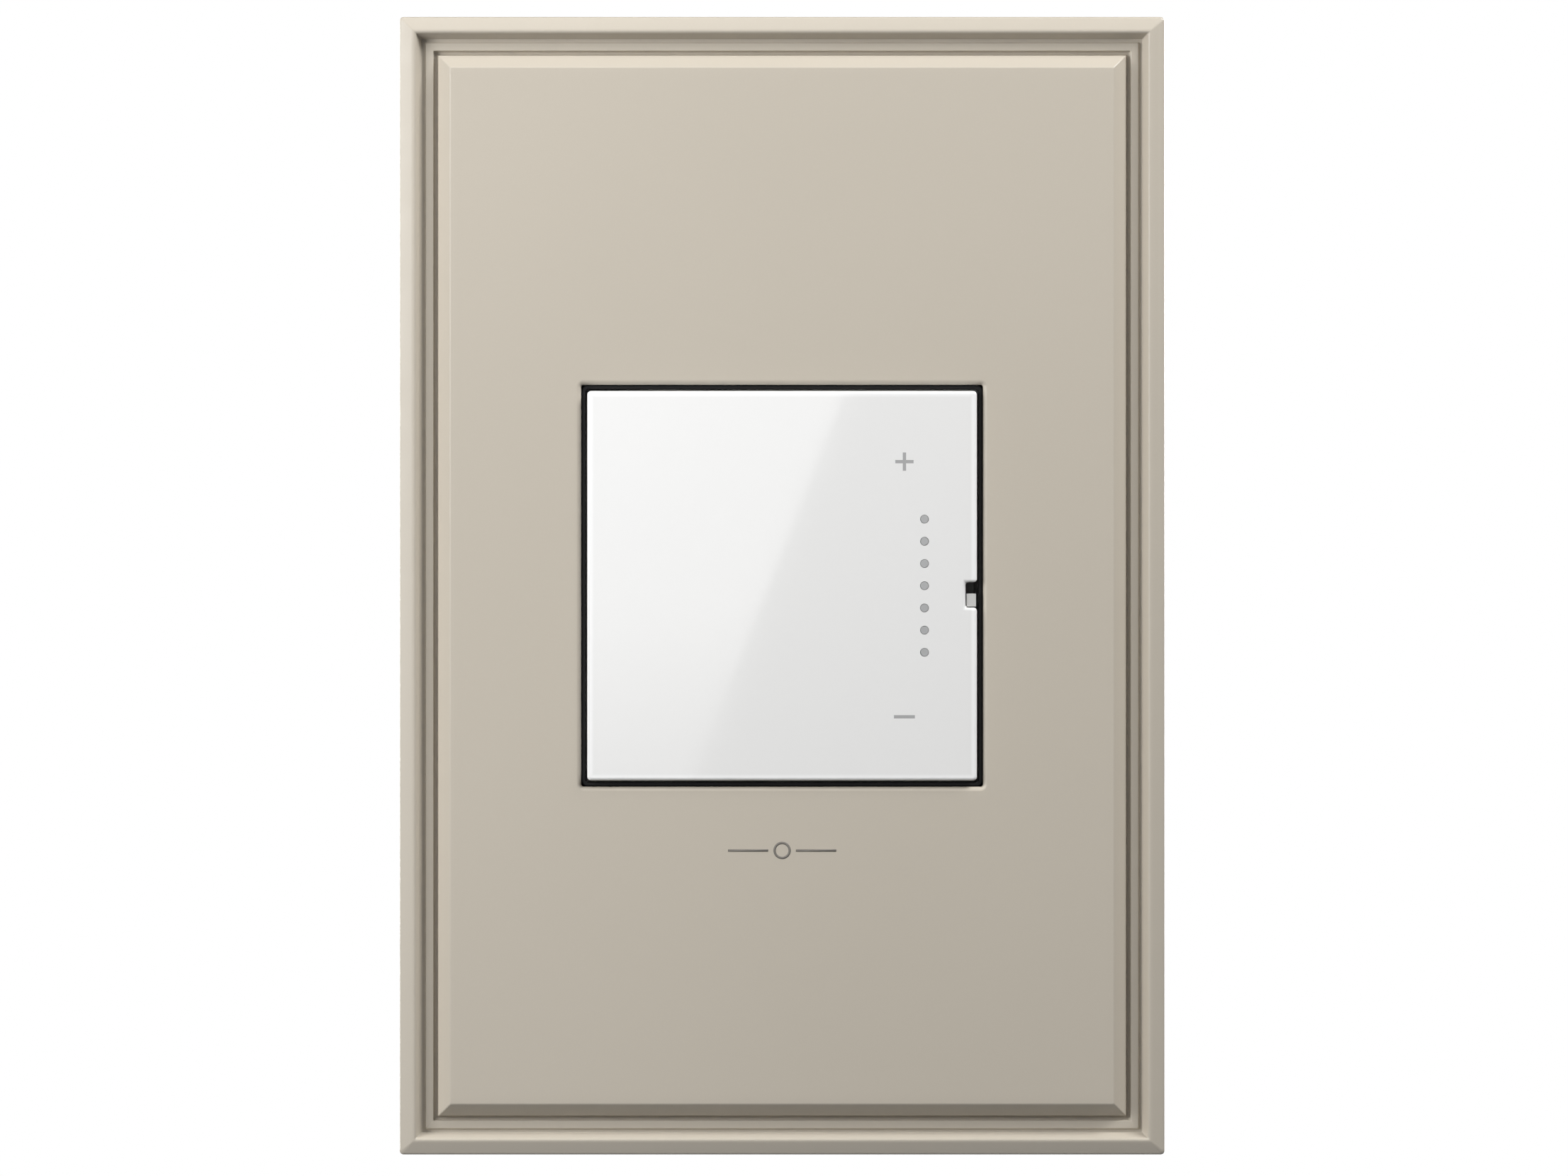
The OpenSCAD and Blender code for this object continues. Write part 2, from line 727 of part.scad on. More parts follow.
// ---------------------------------------------------------------- nodes

mounting_strap();
box_screws();
plate_spring_clips();
module_clips();
ground_strip();
wall_plate();
plate_liner();
touch_lens();
touch_marks();
light_guide();
sensor_film();
sensor_contacts();
led_shroud();
level_leds();
control_board();
control_chips();
board_header();
front_bezel();
insulating_sheet();
heat_spreader();
thermal_pads();
transistor_tabs();
power_transistors();
transistor_screws();
power_board();
choke_core();
choke_winding();
film_capacitor();
bulk_capacitor();
varistor();
fuse_link();
fuse_clips();
power_resistors();
air_gap_slider();
air_gap_arm();
moving_contact();
air_gap_pin();
air_gap_bracket();
fixed_contact();
contact_spring();
rear_housing();
housing_screws();
at_terminal(1, 1) terminal_plate();  // line_terminal
at_terminal(1, 1) clamp_plate();  // line_clamp_plate
at_terminal(1, 1) terminal_screw("#2c2c2e");  // line_screw
at_terminal(1, -1) terminal_plate();  // load_terminal
at_terminal(1, -1) clamp_plate();  // load_clamp_plate
at_terminal(1, -1) terminal_screw("#b8893a");  // load_screw
at_terminal(-1, 1) terminal_plate();  // traveler_terminal
at_terminal(-1, 1) clamp_plate();  // traveler_clamp_plate
at_terminal(-1, 1) terminal_screw("#b8893a");  // traveler_screw
at_terminal(-1, -1) terminal_plate();  // ground_terminal
at_terminal(-1, -1) clamp_plate();  // ground_clamp_plate
at_terminal(-1, -1) terminal_screw("#2f7d3d");  // ground_screw
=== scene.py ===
"""The looks of a wall-mounted touch dimmer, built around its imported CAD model. Lengths are in metres."""
import math
import random

import bmesh
import bpy
from mathutils import Matrix, Vector


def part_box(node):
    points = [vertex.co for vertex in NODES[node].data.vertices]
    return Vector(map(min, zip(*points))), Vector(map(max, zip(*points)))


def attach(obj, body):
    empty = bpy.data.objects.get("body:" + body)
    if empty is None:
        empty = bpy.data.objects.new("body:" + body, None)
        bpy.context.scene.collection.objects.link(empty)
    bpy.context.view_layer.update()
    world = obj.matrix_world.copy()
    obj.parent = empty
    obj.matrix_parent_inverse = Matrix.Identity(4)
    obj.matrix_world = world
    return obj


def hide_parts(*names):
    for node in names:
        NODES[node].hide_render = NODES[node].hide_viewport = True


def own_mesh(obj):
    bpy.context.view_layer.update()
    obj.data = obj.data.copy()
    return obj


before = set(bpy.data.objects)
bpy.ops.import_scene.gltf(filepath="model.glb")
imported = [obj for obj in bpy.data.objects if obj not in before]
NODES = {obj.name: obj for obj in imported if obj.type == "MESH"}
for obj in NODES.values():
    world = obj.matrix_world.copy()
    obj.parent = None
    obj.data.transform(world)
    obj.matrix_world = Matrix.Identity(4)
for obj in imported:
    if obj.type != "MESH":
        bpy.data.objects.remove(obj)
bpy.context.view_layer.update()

MM = 0.001


# ---------------------------------------------------------------- camera, light and stage

def look_at(thing, target):
    """Points a camera or light at a place."""
    thing.rotation_mode = "QUATERNION"
    thing.rotation_quaternion = (Vector(target) - thing.location).to_track_quat("-Z", "Y")


def add_object(name, data):
    thing = bpy.data.objects.new(name, data)
    bpy.context.scene.collection.objects.link(thing)
    return thing


def make_camera():
    """A long lens square in front of the plate, which stands almost as tall as the frame."""
    low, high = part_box("wall_plate")
    centre = (Vector(low) + Vector(high)) / 2
    frame_over_plate = 2.0491
    frame_width = (high[0] - low[0]) * frame_over_plate
    data = bpy.data.cameras.new("camera")
    data.lens = 350
    data.sensor_width = 36
    distance = frame_width * data.lens / data.sensor_width
    camera = add_object("camera", data)
    aside = Vector((0.22 * MM, 0, -0.26 * MM))
    camera.location = Vector((centre.x, low[1] - distance, centre.z)) + aside
    look_at(camera, Vector((centre.x, low[1], centre.z)) + aside)
    data.clip_end = 20
    bpy.context.scene.camera = camera


def area_light(name, place, target, width, height, power, colour=(1, 1, 1)):
    data = bpy.data.lights.new(name, "AREA")
    data.shape = "RECTANGLE"
    data.size = width
    data.size_y = height
    data.energy = power
    data.color = colour
    light = add_object(name, data)
    light.location = place
    look_at(light, target)
    light.visible_camera = False
    return light


def make_light():
    """Soft boxes high on the right, on the left and near the top, two behind, and a weak even surround."""
    warm = (1, 0.995, 0.985)
    area_light("right_high", (0.35, -0.20, 0.40), (0, 0, 0.03), 0.2, 0.2, 2.84, warm)
    area_light("left", (-0.35, -0.25, 0.10), (-0.02, 0, 0.02), 0.2, 0.2, 1.56, warm)
    area_light("near_top", (-0.08, -0.22, 0.30), (-0.03, 0, 0.05), 0.2, 0.2, 0.3, warm)
    for name, place, power in (("back_right", (0.5, 0.85, 0.22), 0.8), ("back_left", (-0.6, 0.7, 0.08), 0.5)):
        area_light(name, place, (0, 0, 0), 0.4, 0.4, power).data.spread = math.radians(50)
    world = bpy.data.worlds.new("studio")
    bpy.context.scene.world = world
    world.use_nodes = True
    tree = world.node_tree
    tree.nodes.clear()
    seen = tree.nodes.new("ShaderNodeBackground")
    seen.inputs["Strength"].default_value = 1.0
    seen.inputs["Color"].default_value = (1, 1, 1, 1)
    dim = tree.nodes.new("ShaderNodeBackground")
    dim.inputs["Color"].default_value = (0.97, 0.985, 1, 1)
    path = tree.nodes.new("ShaderNodeLightPath")
    level = tree.nodes.new("ShaderNodeMapRange")
    level.inputs["To Min"].default_value = 0.09
    level.inputs["To Max"].default_value = 0.3
    tree.links.new(path.outputs["Is Glossy Ray"], level.inputs["Value"])
    tree.links.new(level.outputs["Result"], dim.inputs["Strength"])
    mix = tree.nodes.new("ShaderNodeMixShader")
    out = tree.nodes.new("ShaderNodeOutputWorld")
    tree.links.new(path.outputs["Is Camera Ray"], mix.inputs["Fac"])
    tree.links.new(dim.outputs[0], mix.inputs[1])
    tree.links.new(seen.outputs[0], mix.inputs[2])
    tree.links.new(mix.outputs[0], out.inputs["Surface"])


def make_card():
    """A slanted bright card beside the camera, which only the glossy face mirrors. It fades downwards."""
    along, across = Vector((0.362, 0, 0.932)), Vector((0.932, 0, -0.362))
    edge = Vector((0.0126, -1.4, 0.040))
    above, below, width = 0.06, 0.14, 0.2
    high, low = edge + along * above, edge - along * below
    mesh = bpy.data.meshes.new("card")
    mesh.from_pydata([high, high - across * width, low - across * width, low], [], [(0, 1, 2, 3)])
    card = add_object("card", mesh)
    s = Shader("card_glow")
    height = s.node("SeparateXYZ", {"Vector": s.place}).outputs["Z"]
    s.set(Base_Color=(0, 0, 0), Roughness=1.0, Emission_Color=(1, 1, 1), Specular_IOR_Level=0.0,
          Emission_Strength=s.span(height, 0.6, 3.0, -0.06, -0.005))
    mesh.materials.append(s.material)
    card.visible_camera = False
    card.visible_diffuse = False
    card.visible_shadow = False


def make_floor():
    """A pale floor well below the part, which hangs on a wall when it is in use."""
    half = 0.7
    level = -0.4
    corners = [(x * half, y * half, level) for x, y in ((-1, -1), (1, -1), (1, 1), (-1, 1))]
    mesh = bpy.data.meshes.new("floor")
    mesh.from_pydata(corners, [], [(0, 1, 2, 3)])
    floor = add_object("floor", mesh)
    material = surface("pale_floor", (0.8, 0.8, 0.79), rough=0.7, grain=(220, 0.00006), edge=0)
    glow = material.node_tree.nodes["Principled BSDF"].inputs
    glow["Emission Color"].default_value = (1, 0.995, 0.985, 1)
    glow["Emission Strength"].default_value = 0.8
    mesh.materials.append(material)
    floor.visible_diffuse = False


# ---------------------------------------------------------------- materials

class Shader:
    """One node material round a Principled shader, with its texture in the object's own metres."""

    def __init__(self, name):
        self.material = bpy.data.materials.new(name)
        self.material.use_nodes = True
        self.tree = self.material.node_tree
        self.main = self.tree.nodes["Principled BSDF"]
        self.place = self.tree.nodes.new("ShaderNodeTexCoord").outputs["Object"]

    def node(self, kind, values=(), **settings):
        made = self.tree.nodes.new("ShaderNode" + kind)
        for key, value in settings.items():
            setattr(made, key, value)
        for key, value in dict(values).items():
            if isinstance(value, bpy.types.NodeSocket):
                self.tree.links.new(value, made.inputs[key])
            else:
                made.inputs[key].default_value = value
        return made

    def stretched(self, stretch):
        """The object's own place, scaled along each axis."""
        return self.node("Mapping", {"Vector": self.place, "Scale": stretch}).outputs["Vector"]

    def noise(self, scale, detail=3.0, stretch=None, roughness=0.5):
        place = self.stretched(stretch) if stretch else self.place
        return self.node("TexNoise", {"Vector": place, "Scale": scale, "Detail": detail,
                                      "Roughness": roughness}).outputs["Fac"]

    def cells(self, scale):
        return self.node("TexVoronoi", {"Vector": self.place, "Scale": scale}).outputs[0]

    def span(self, value, low, high, start=0.3, end=0.7):
        """Carries a value between start and end over to low and high."""
        return self.node("MapRange", {"Value": value, "From Min": start, "From Max": end,
                                      "To Min": low, "To Max": high}).outputs["Result"]

    def math(self, operation, first, second=0.0):
        made = self.tree.nodes.new("ShaderNodeMath")
        made.operation = operation
        for index, value in enumerate((first, second)):
            if isinstance(value, bpy.types.NodeSocket):
                self.tree.links.new(value, made.inputs[index])
            else:
                made.inputs[index].default_value = value
        return made.outputs[0]

    def mix(self, factor, first, second):
        """A mix of two colours, each a colour or a socket."""
        made = self.tree.nodes.new("ShaderNodeMix")
        made.data_type = "RGBA"
        for index, value in ((0, factor), (6, first), (7, second)):
            if isinstance(value, bpy.types.NodeSocket):
                self.tree.links.new(value, made.inputs[index])
            elif index:
                made.inputs[index].default_value = (*value, 1)
            else:
                made.inputs[index].default_value = value
        return made.outputs[2]

    def beyond(self, axis, limit):
        """1 past a place along one of the object's axes, else 0."""
        place = self.node("SeparateXYZ", {"Vector": self.place}).outputs[axis]
        return self.math("GREATER_THAN", place, limit)

    def set(self, **values):
        """Sets the main shader's sockets; a name's underscores are spaces."""
        for key, value in values.items():
            socket = self.main.inputs[key.replace("_", " ")]
            if isinstance(value, bpy.types.NodeSocket):
                self.tree.links.new(value, socket)
            elif isinstance(value, tuple):
                socket.default_value = (*value, 1)
            else:
                socket.default_value = value

    def relief(self, height, depth, edge=0.0):
        """Bump of a depth in metres on top of edges rounded to a radius."""
        values = {"Height": height, "Distance": depth, "Strength": 1.0}
        if edge:
            values["Normal"] = self.node("Bevel", {"Radius": edge}, samples=4).outputs["Normal"]
        self.set(Normal=self.node("Bump", values).outputs["Normal"])


def shade(colour, factor):
    return tuple(min(1, part * factor) for part in colour)


def surface(name, colour, rough, grain, rough_spread=0.08, spread=0.06, cloud=45, metal=0.0, edge=0.00012,
            coat=0.0, specular=0.5):
    """A moulded, painted or metal surface: clouded colour, uneven gloss and a fine grain."""
    s = Shader(name)
    blotch = s.noise(cloud, 4)
    s.set(Base_Color=s.mix(s.span(blotch, 0, 1), shade(colour, 1 - spread), shade(colour, 1 + spread)),
          Roughness=s.span(s.noise(cloud * 3.1, 4), rough - rough_spread, rough + rough_spread),
          Metallic=metal, Coat_Weight=coat, Coat_Roughness=0.1, Specular_IOR_Level=specular)
    s.relief(s.noise(grain[0], 2), grain[1], edge)
    return s.material


def zinc():
    """Zinc plating on rolled steel: pale spangle, rolling marks along z and a faint yellow cast."""
    s = Shader("zinc_plate")
    spangle = s.cells(420)
    roll = s.noise(1400, 3, (1, 1, 0.04))
    tint = s.mix(s.span(s.noise(60, 4), 0, 1), (0.62, 0.63, 0.64), (0.68, 0.675, 0.65))
    s.set(Base_Color=s.mix(s.math("MULTIPLY", spangle, 0.3), tint, (0.76, 0.77, 0.78)), Metallic=1.0,
          Roughness=s.span(s.math("ADD", roll, s.math("MULTIPLY", spangle, 0.2)), 0.34, 0.46, 0.3, 0.9))
    s.relief(roll, 0.0000015, 0.00015)
    return s.material


def drawn(name, colour, dark, rough):
    """Drawn or turned metal: fine lines, with tarnish that gathers in patches."""
    s = Shader(name)
    lines = s.noise(1500, 2, (0.05, 1, 1))
    tarnish = s.span(s.noise(190, 5), 0, 0.55, 0.52, 0.75)
    s.set(Base_Color=s.mix(tarnish, colour, dark), Metallic=1.0,
          Roughness=s.span(lines, rough - 0.06, rough + 0.12))
    s.relief(lines, 0.000003, 0.00008)
    return s.material


def parts_along(name, axis, parts):
    """One material for a part made of several, along an axis: each is (start, colour, roughness, metal)."""
    s = Shader(name)
    _, colour, rough, metal = parts[0]
    for start, next_colour, next_rough, next_metal in parts[1:]:
        beyond = s.beyond(axis, start)
        colour = s.mix(beyond, colour, next_colour)
        rough = s.span(beyond, rough, next_rough, 0, 1)
        metal = s.span(beyond, metal, next_metal, 0, 1)
    s.set(Base_Color=s.mix(s.span(s.noise(210, 4), 0, 0.3), colour, (0.02, 0.02, 0.02)), Metallic=metal,
          Roughness=s.math("ADD", rough, s.span(s.noise(400, 3), -0.06, 0.06)))
    s.relief(s.noise(2400, 2), 0.000006, 0.0001)
    return s.material


def circuit_board(name, mask, track, cell=210):
    """Solder mask over raised tracks, with small tinned lands."""
    s = Shader(name)
    between = s.node("TexVoronoi", {"Vector": s.place, "Scale": cell, "Randomness": 0.6},
                     feature="DISTANCE_TO_EDGE")
    lines = s.math("LESS_THAN", between.outputs["Distance"], 0.07)
    lands = s.math("LESS_THAN", s.cells(cell * 1.7), 0.13)
    tint = s.mix(s.span(s.noise(60, 4), 0, 1), shade(mask, 0.85), shade(mask, 1.15))
    s.set(Base_Color=s.mix(lands, s.mix(lines, tint, track), (0.68, 0.67, 0.64)), Metallic=lands,
          Roughness=s.span(s.noise(300, 3), 0.24, 0.4))
    s.relief(s.math("ADD", lines, s.math("MULTIPLY", s.noise(2400, 2), 0.25)), 0.000025, 0.00006)
    return s.material


def printed_film():
    """Amber film with printed sensing bars."""
    s = Shader("sensing_film")
    wave = s.node("TexWave", {"Vector": s.place, "Scale": 42.0, "Distortion": 0.0}, bands_direction="Z")
    bars = s.math("GREATER_THAN", wave.outputs["Fac"], 0.42)
    amber = s.mix(s.span(s.noise(90, 4), 0, 1), (0.50, 0.25, 0.06), (0.60, 0.32, 0.09))
    s.set(Base_Color=s.mix(bars, amber, (0.74, 0.42, 0.26)), Metallic=s.math("MULTIPLY", bars, 0.8),
          Roughness=s.span(s.noise(500, 3), 0.2, 0.34))
    s.relief(bars, 0.000015, 0.0)
    return s.material


def fibre_sheet():
    """Vulcanised fibre paper: cream, with long fibres."""
    s = Shader("fibre_sheet")
    fibres = s.noise(700, 5, (0.12, 1, 1), 0.7)
    s.set(Base_Color=s.mix(s.span(fibres, 0, 1, 0.35, 0.65), (0.58, 0.52, 0.37), (0.74, 0.69, 0.54)),
          Roughness=s.span(fibres, 0.6, 0.78))
    s.relief(fibres, 0.00002)
    return s.material


def rolled_sheet():
    """Mill-finish aluminium: long rolling lines and faint oxide clouds."""
    s = Shader("rolled_aluminium")
    lines = s.noise(1100, 3, (1, 1, 0.02))
    s.set(Base_Color=s.mix(s.span(s.noise(70, 4), 0, 1), (0.72, 0.73, 0.74), (0.80, 0.80, 0.80)),
          Metallic=1.0, Roughness=s.span(lines, 0.26, 0.42))
    s.relief(lines, 0.000005, 0.00012)
    return s.material


def sleeve_vinyl():
    """A blue shrink sleeve with a pale stripe down one side."""
    s = Shader("shrink_sleeve")
    apart = s.node("SeparateXYZ", {"Vector": s.place}).outputs
    aside = s.math("ABSOLUTE", s.math("ADD", apart["X"], 0.007))
    narrow = s.math("LESS_THAN", aside, 0.0011)
    stripe = s.math("MULTIPLY", narrow, s.math("LESS_THAN", apart["Z"], -0.0149))
    blue = s.mix(s.span(s.noise(120, 4), 0, 1), (0.018, 0.035, 0.095), (0.028, 0.050, 0.125))
    s.set(Base_Color=s.mix(stripe, blue, (0.48, 0.55, 0.62)), Roughness=s.span(s.noise(350, 3), 0.22, 0.36),
          Coat_Weight=0.3, Coat_Roughness=0.15)
    s.relief(s.noise(900, 3), 0.00001)
    return s.material


def serrated():
    """Yellow zinc steel with a row of pressed grip lines."""
    s = Shader("clamp_steel")
    wave = s.node("TexWave", {"Vector": s.place, "Scale": 250.0}, bands_direction="Z").outputs["Fac"]
    hue = s.mix(s.span(s.noise(260, 4), 0, 1), (0.62, 0.56, 0.40), (0.68, 0.63, 0.56))
    s.set(Base_Color=hue, Metallic=1.0, Roughness=s.span(s.noise(420, 3), 0.24, 0.38))
    s.relief(s.math("ADD", wave, s.math("MULTIPLY", s.noise(1600, 2), 0.1)), 0.00006, 0.00012)
    return s.material


def banded():
    """Lacquered resistor bodies with colour bands."""
    lacquer = (0.22, 0.44, 0.52)
    brown, black = (0.13, 0.05, 0.02), (0.012, 0.012, 0.012)
    red, gold = (0.42, 0.03, 0.02), (0.52, 0.36, 0.11)
    width = 0.0006
    stops = [(-1, lacquer, 0.3, 0)]
    for start, colour in ((-0.0162, brown), (-0.0148, black), (-0.0137, red), (-0.0105, gold)):
        stops += [(start, colour, 0.28, 0), (start + width, lacquer, 0.3, 0)]
    return parts_along("resistor_bands", "Z", stops)


def plate_paint():
    """Satin warm grey-beige paint, with a faint orange peel and a fine mica sparkle."""
    s = Shader("plate_paint")
    colour = (0.553, 0.505, 0.430)
    drift = s.noise(14, 2)
    fleck = s.cells(5200)
    base = s.mix(s.span(drift, 0, 1), shade(colour, 0.985), shade(colour, 1.015))
    s.set(Base_Color=s.mix(s.span(fleck, 0.06, 0, 0.0, 0.35), base, (0.8, 0.78, 0.72)),
          Roughness=s.span(s.noise(380, 3), 0.36, 0.44), Specular_IOR_Level=0.42,
          Coat_Weight=0.12, Coat_Roughness=0.22)
    s.relief(s.noise(1300, 2), 0.0000035)
    return s.material


def gloss_face():
    """Back-painted acrylic: a deep polish with faint wipe marks, and a paler rim that is a painted highlight
    of its rounded edge.
    """
    s = Shader("gloss_white")
    wipe = s.noise(2600, 2, (1, 1, 0.02))
    apart = s.node("SeparateXYZ", {"Vector": s.place}).outputs
    highlight_reach = s.math("MAXIMUM", s.math("ABSOLUTE", apart["X"]), s.math("ABSOLUTE", apart["Z"]))
    body = s.mix(s.span(s.noise(25, 2), 0, 1), (0.852, 0.854, 0.854), (0.864, 0.864, 0.862))
    # The pale colour within the last few tenths of a millimetre of the edge is a painted highlight.
    s.set(Base_Color=s.mix(s.span(highlight_reach, 0, 1, 0.02155, 0.0219), body, (0.97, 0.975, 0.98)),
          Roughness=s.span(wipe, 0.015, 0.03), IOR=1.49)
    s.relief(s.math("ADD", s.noise(60, 1), s.math("MULTIPLY", wipe, 0.02)), 0.0000012)
    return s.material


# ---------------------------------------------------------------- meshes

def rect_ring(half_x, half_z, radius, y, steps=5):
    """Points round an upright rounded rectangle, clockwise from the top right corner."""
    points = []
    for corner, (sx, sz) in enumerate(((1, 1), (1, -1), (-1, -1), (-1, 1))):
        centre = Vector((sx * (half_x - radius), y, sz * (half_z - radius)))
        for step in range(steps + 1):
            angle = math.radians(90 - 90 * corner - 90 * step / steps)
            points.append(centre + radius * Vector((math.cos(angle), 0, math.sin(angle))))
    return points


def arc(centre, radius, start, end, steps):
    """Points of an arc in a flat section, with its angles in degrees."""
    turn = [math.radians(start + (end - start) * i / steps) for i in range(steps + 1)]
    return [(centre[0] + radius * math.cos(a), centre[1] + radius * math.sin(a)) for a in turn]


def skin(name, rings, loop=False):
    """A mesh through rings of equal count, closed on itself or capped at both ends."""
    mesh = bmesh.new()
    rows = [[mesh.verts.new(p) for p in ring] for ring in rings]
    count = len(rows[0])
    pairs = list(zip(rows, rows[1:])) + ([(rows[-1], rows[0])] if loop else [])
    for a, b in pairs:
        for i in range(count):
            j = (i + 1) % count
            mesh.faces.new((a[i], a[j], b[j], b[i]))
    if not loop:
        mesh.faces.new(rows[0])
        mesh.faces.new(rows[-1])
    return finished(name, mesh)


def crease(mesh):
    """Shades a mesh smooth but for its sharp edges."""
    sharp = math.radians(32)
    for face in mesh.faces:
        face.smooth = True
    for edge in mesh.edges:
        edge.smooth = not (len(edge.link_faces) == 2 and edge.calc_face_angle(0) > sharp)


def finished(name, mesh):
    """Turns built geometry into an object."""
    bmesh.ops.recalc_face_normals(mesh, faces=mesh.faces)
    crease(mesh)
    data = bpy.data.meshes.new(name)
    mesh.to_mesh(data)
    mesh.free()
    return add_object(name, data)


def soften(thing):
    """Shades the flat faces of a built piece flat, up to their rounded edges."""
    thing.modifiers.new("flat_faces", "WEIGHTED_NORMAL").keep_sharp = True


def carve(thing, cutters):
    """Cuts shapes out of a piece, with its modifiers, and keeps only the result."""
    for cutter in cutters:
        cut = thing.modifiers.new("cut", "BOOLEAN")
        cut.operation = "DIFFERENCE"
        cut.solver = "EXACT"
        cut.object = cutter
    graph = bpy.context.evaluated_depsgraph_get()
    data = bpy.data.meshes.new_from_object(thing.evaluated_get(graph), depsgraph=graph)
    mesh = bmesh.new()
    mesh.from_mesh(data)
    crease(mesh)
    mesh.to_mesh(data)
    mesh.free()
    thing.modifiers.clear()
    thing.data = data
    for cutter in cutters:
        bpy.data.objects.remove(cutter)
    return thing


def turned(name, seat, axis, profile, sides):
    """A round part: its profile is (radius, height) in millimetres, along an axis from a seat in metres."""
    turn = Vector(axis).to_track_quat("Z", "Y").to_matrix()
    angles = [2 * math.pi * k / sides for k in range(sides)]
    rings = [[Vector(seat) + turn @ (Vector((r * math.cos(a), r * math.sin(a), h)) * MM) for a in angles]
             for r, h in profile]
    return skin(name, rings)


def both_ways(half, waist):
    """A round part's profile that is the same on both sides of its middle, from the end of one half."""
    return [(r, -h) for r, h in half] + [(waist, 0)] + [(r, h) for r, h in reversed(half)]


def round_bar(name, start, end, radius, sides=32):
    """A straight round bar between two points in metres."""
    length = (Vector(end) - Vector(start)).length / MM
    return turned(name, start, Vector(end) - Vector(start), [(radius / MM, 0), (radius / MM, length)], sides)


def swept(name, path, radius, sides):
    """A round wire along a path."""
    rings = []
    normal = (path[1] - path[0]).orthogonal()
    angles = [2 * math.pi * k / sides for k in range(sides)]
    for i, point in enumerate(path):
        along = (path[min(i + 1, len(path) - 1)] - path[max(i - 1, 0)]).normalized()
        normal = (normal - along * normal.dot(along)).normalized()
        side = along.cross(normal)
        rings.append([point + radius * (math.cos(a) * normal + math.sin(a) * side) for a in angles])
    return skin(name, rings)


def joined(name, things):
    """Makes one object of several built ones."""
    mesh = bmesh.new()
    for thing in things:
        mesh.from_mesh(thing.data)
        bpy.data.objects.remove(thing)
    data = bpy.data.meshes.new(name)
    mesh.to_mesh(data)
    mesh.free()
    return add_object(name, data)


def machine_screw(seat, out, head, shank, neck, twist, lead=0.794, slotted=True):
    """The two halves of a screw: a domed head with a recess, and a shank with a helical thread.
    In millimetres, head is (radius, height), shank is (thread radius, root radius, length), and neck is the
    length without thread."""
    radius, height = head
    outer, root, length = shank
    cap = turned("head", (0, 0, 0), (0, 0, 1), [
        (root * 0.5, -0.02), (radius - 0.15, 0), (radius, 0.14), (radius, height * 0.42),
        (radius * 0.975, height * 0.6), (radius * 0.88, height * 0.78), (radius * 0.7, height * 0.9),
        (radius * 0.4, height * 0.98), (0.05, height)], 56)
    arm = radius * 0.5
    deep = height * 0.5
    half_slot = 0.38
    cuts = [cuboid("cross", (-half_slot, -arm, height - deep - 0.15), (half_slot, arm, height + 1))]
    reach = radius + 1 if slotted else arm
    cuts.append(cuboid("slot", (-reach, -half_slot, height - deep), (reach, half_slot, height + 1)))
    carve(cap, cuts)
    sides = 28
    steps = int((length - neck) / lead * 8)
    rings = []
    for i in range(steps + 1):
        z = (length - neck) * i / steps - length
        taper = 0.7 + 0.3 * min(1, (z + length) / 0.9)
        ring = []
        for k in range(sides):
            wave = abs((z / lead - k / sides) % 1 * 2 - 1)
            r = (root + (outer - root) * min(1, max(0, wave * 1.5 - 0.25))) * taper
            angle = 2 * math.pi * k / sides
            ring.append(Vector((r * math.cos(angle), r * math.sin(angle), z)) * MM)
        rings.append(ring)
    turns = [2 * math.pi * k / sides for k in range(sides)]
    for z in (-neck + 0.02, 0.02):
        rings.append([Vector((root * math.cos(a), root * math.sin(a), z)) * MM for a in turns])
    thread = skin("thread", rings)
    place = Matrix.Translation(seat) @ Vector(out).to_track_quat("Z", "Y").to_matrix().to_4x4() \
        @ Matrix.Rotation(twist, 4, "Z")
    for half in (cap, thread):
        half.data.transform(place)
    return [cap, thread]


def cuboid(name, low, high):
    """A cuboid between two corners, given in millimetres."""
    mesh = bmesh.new()
    bmesh.ops.create_cube(mesh, size=1)
    size = Vector(high) - Vector(low)
    middle = (Vector(high) + Vector(low)) / 2
    for v in mesh.verts:
        v.co = Vector([(v.co[i] * size[i] + middle[i]) * MM for i in range(3)])
    return finished(name, mesh)


def dress(thing, material, body, slot, *nodes):
    """Gives a piece its material, its body and the CAD nodes that it stands for."""
    thing.data.materials.clear()
    thing.data.materials.append(material)
    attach(thing, body)
    if nodes:
        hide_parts(*nodes)


def paint(material, *names):
    """Puts a material on CAD nodes whose shape is already right."""
    for name in names:
        for slot in NODES[name].material_slots:
            slot.material = material


# ---------------------------------------------------------------- wall plate

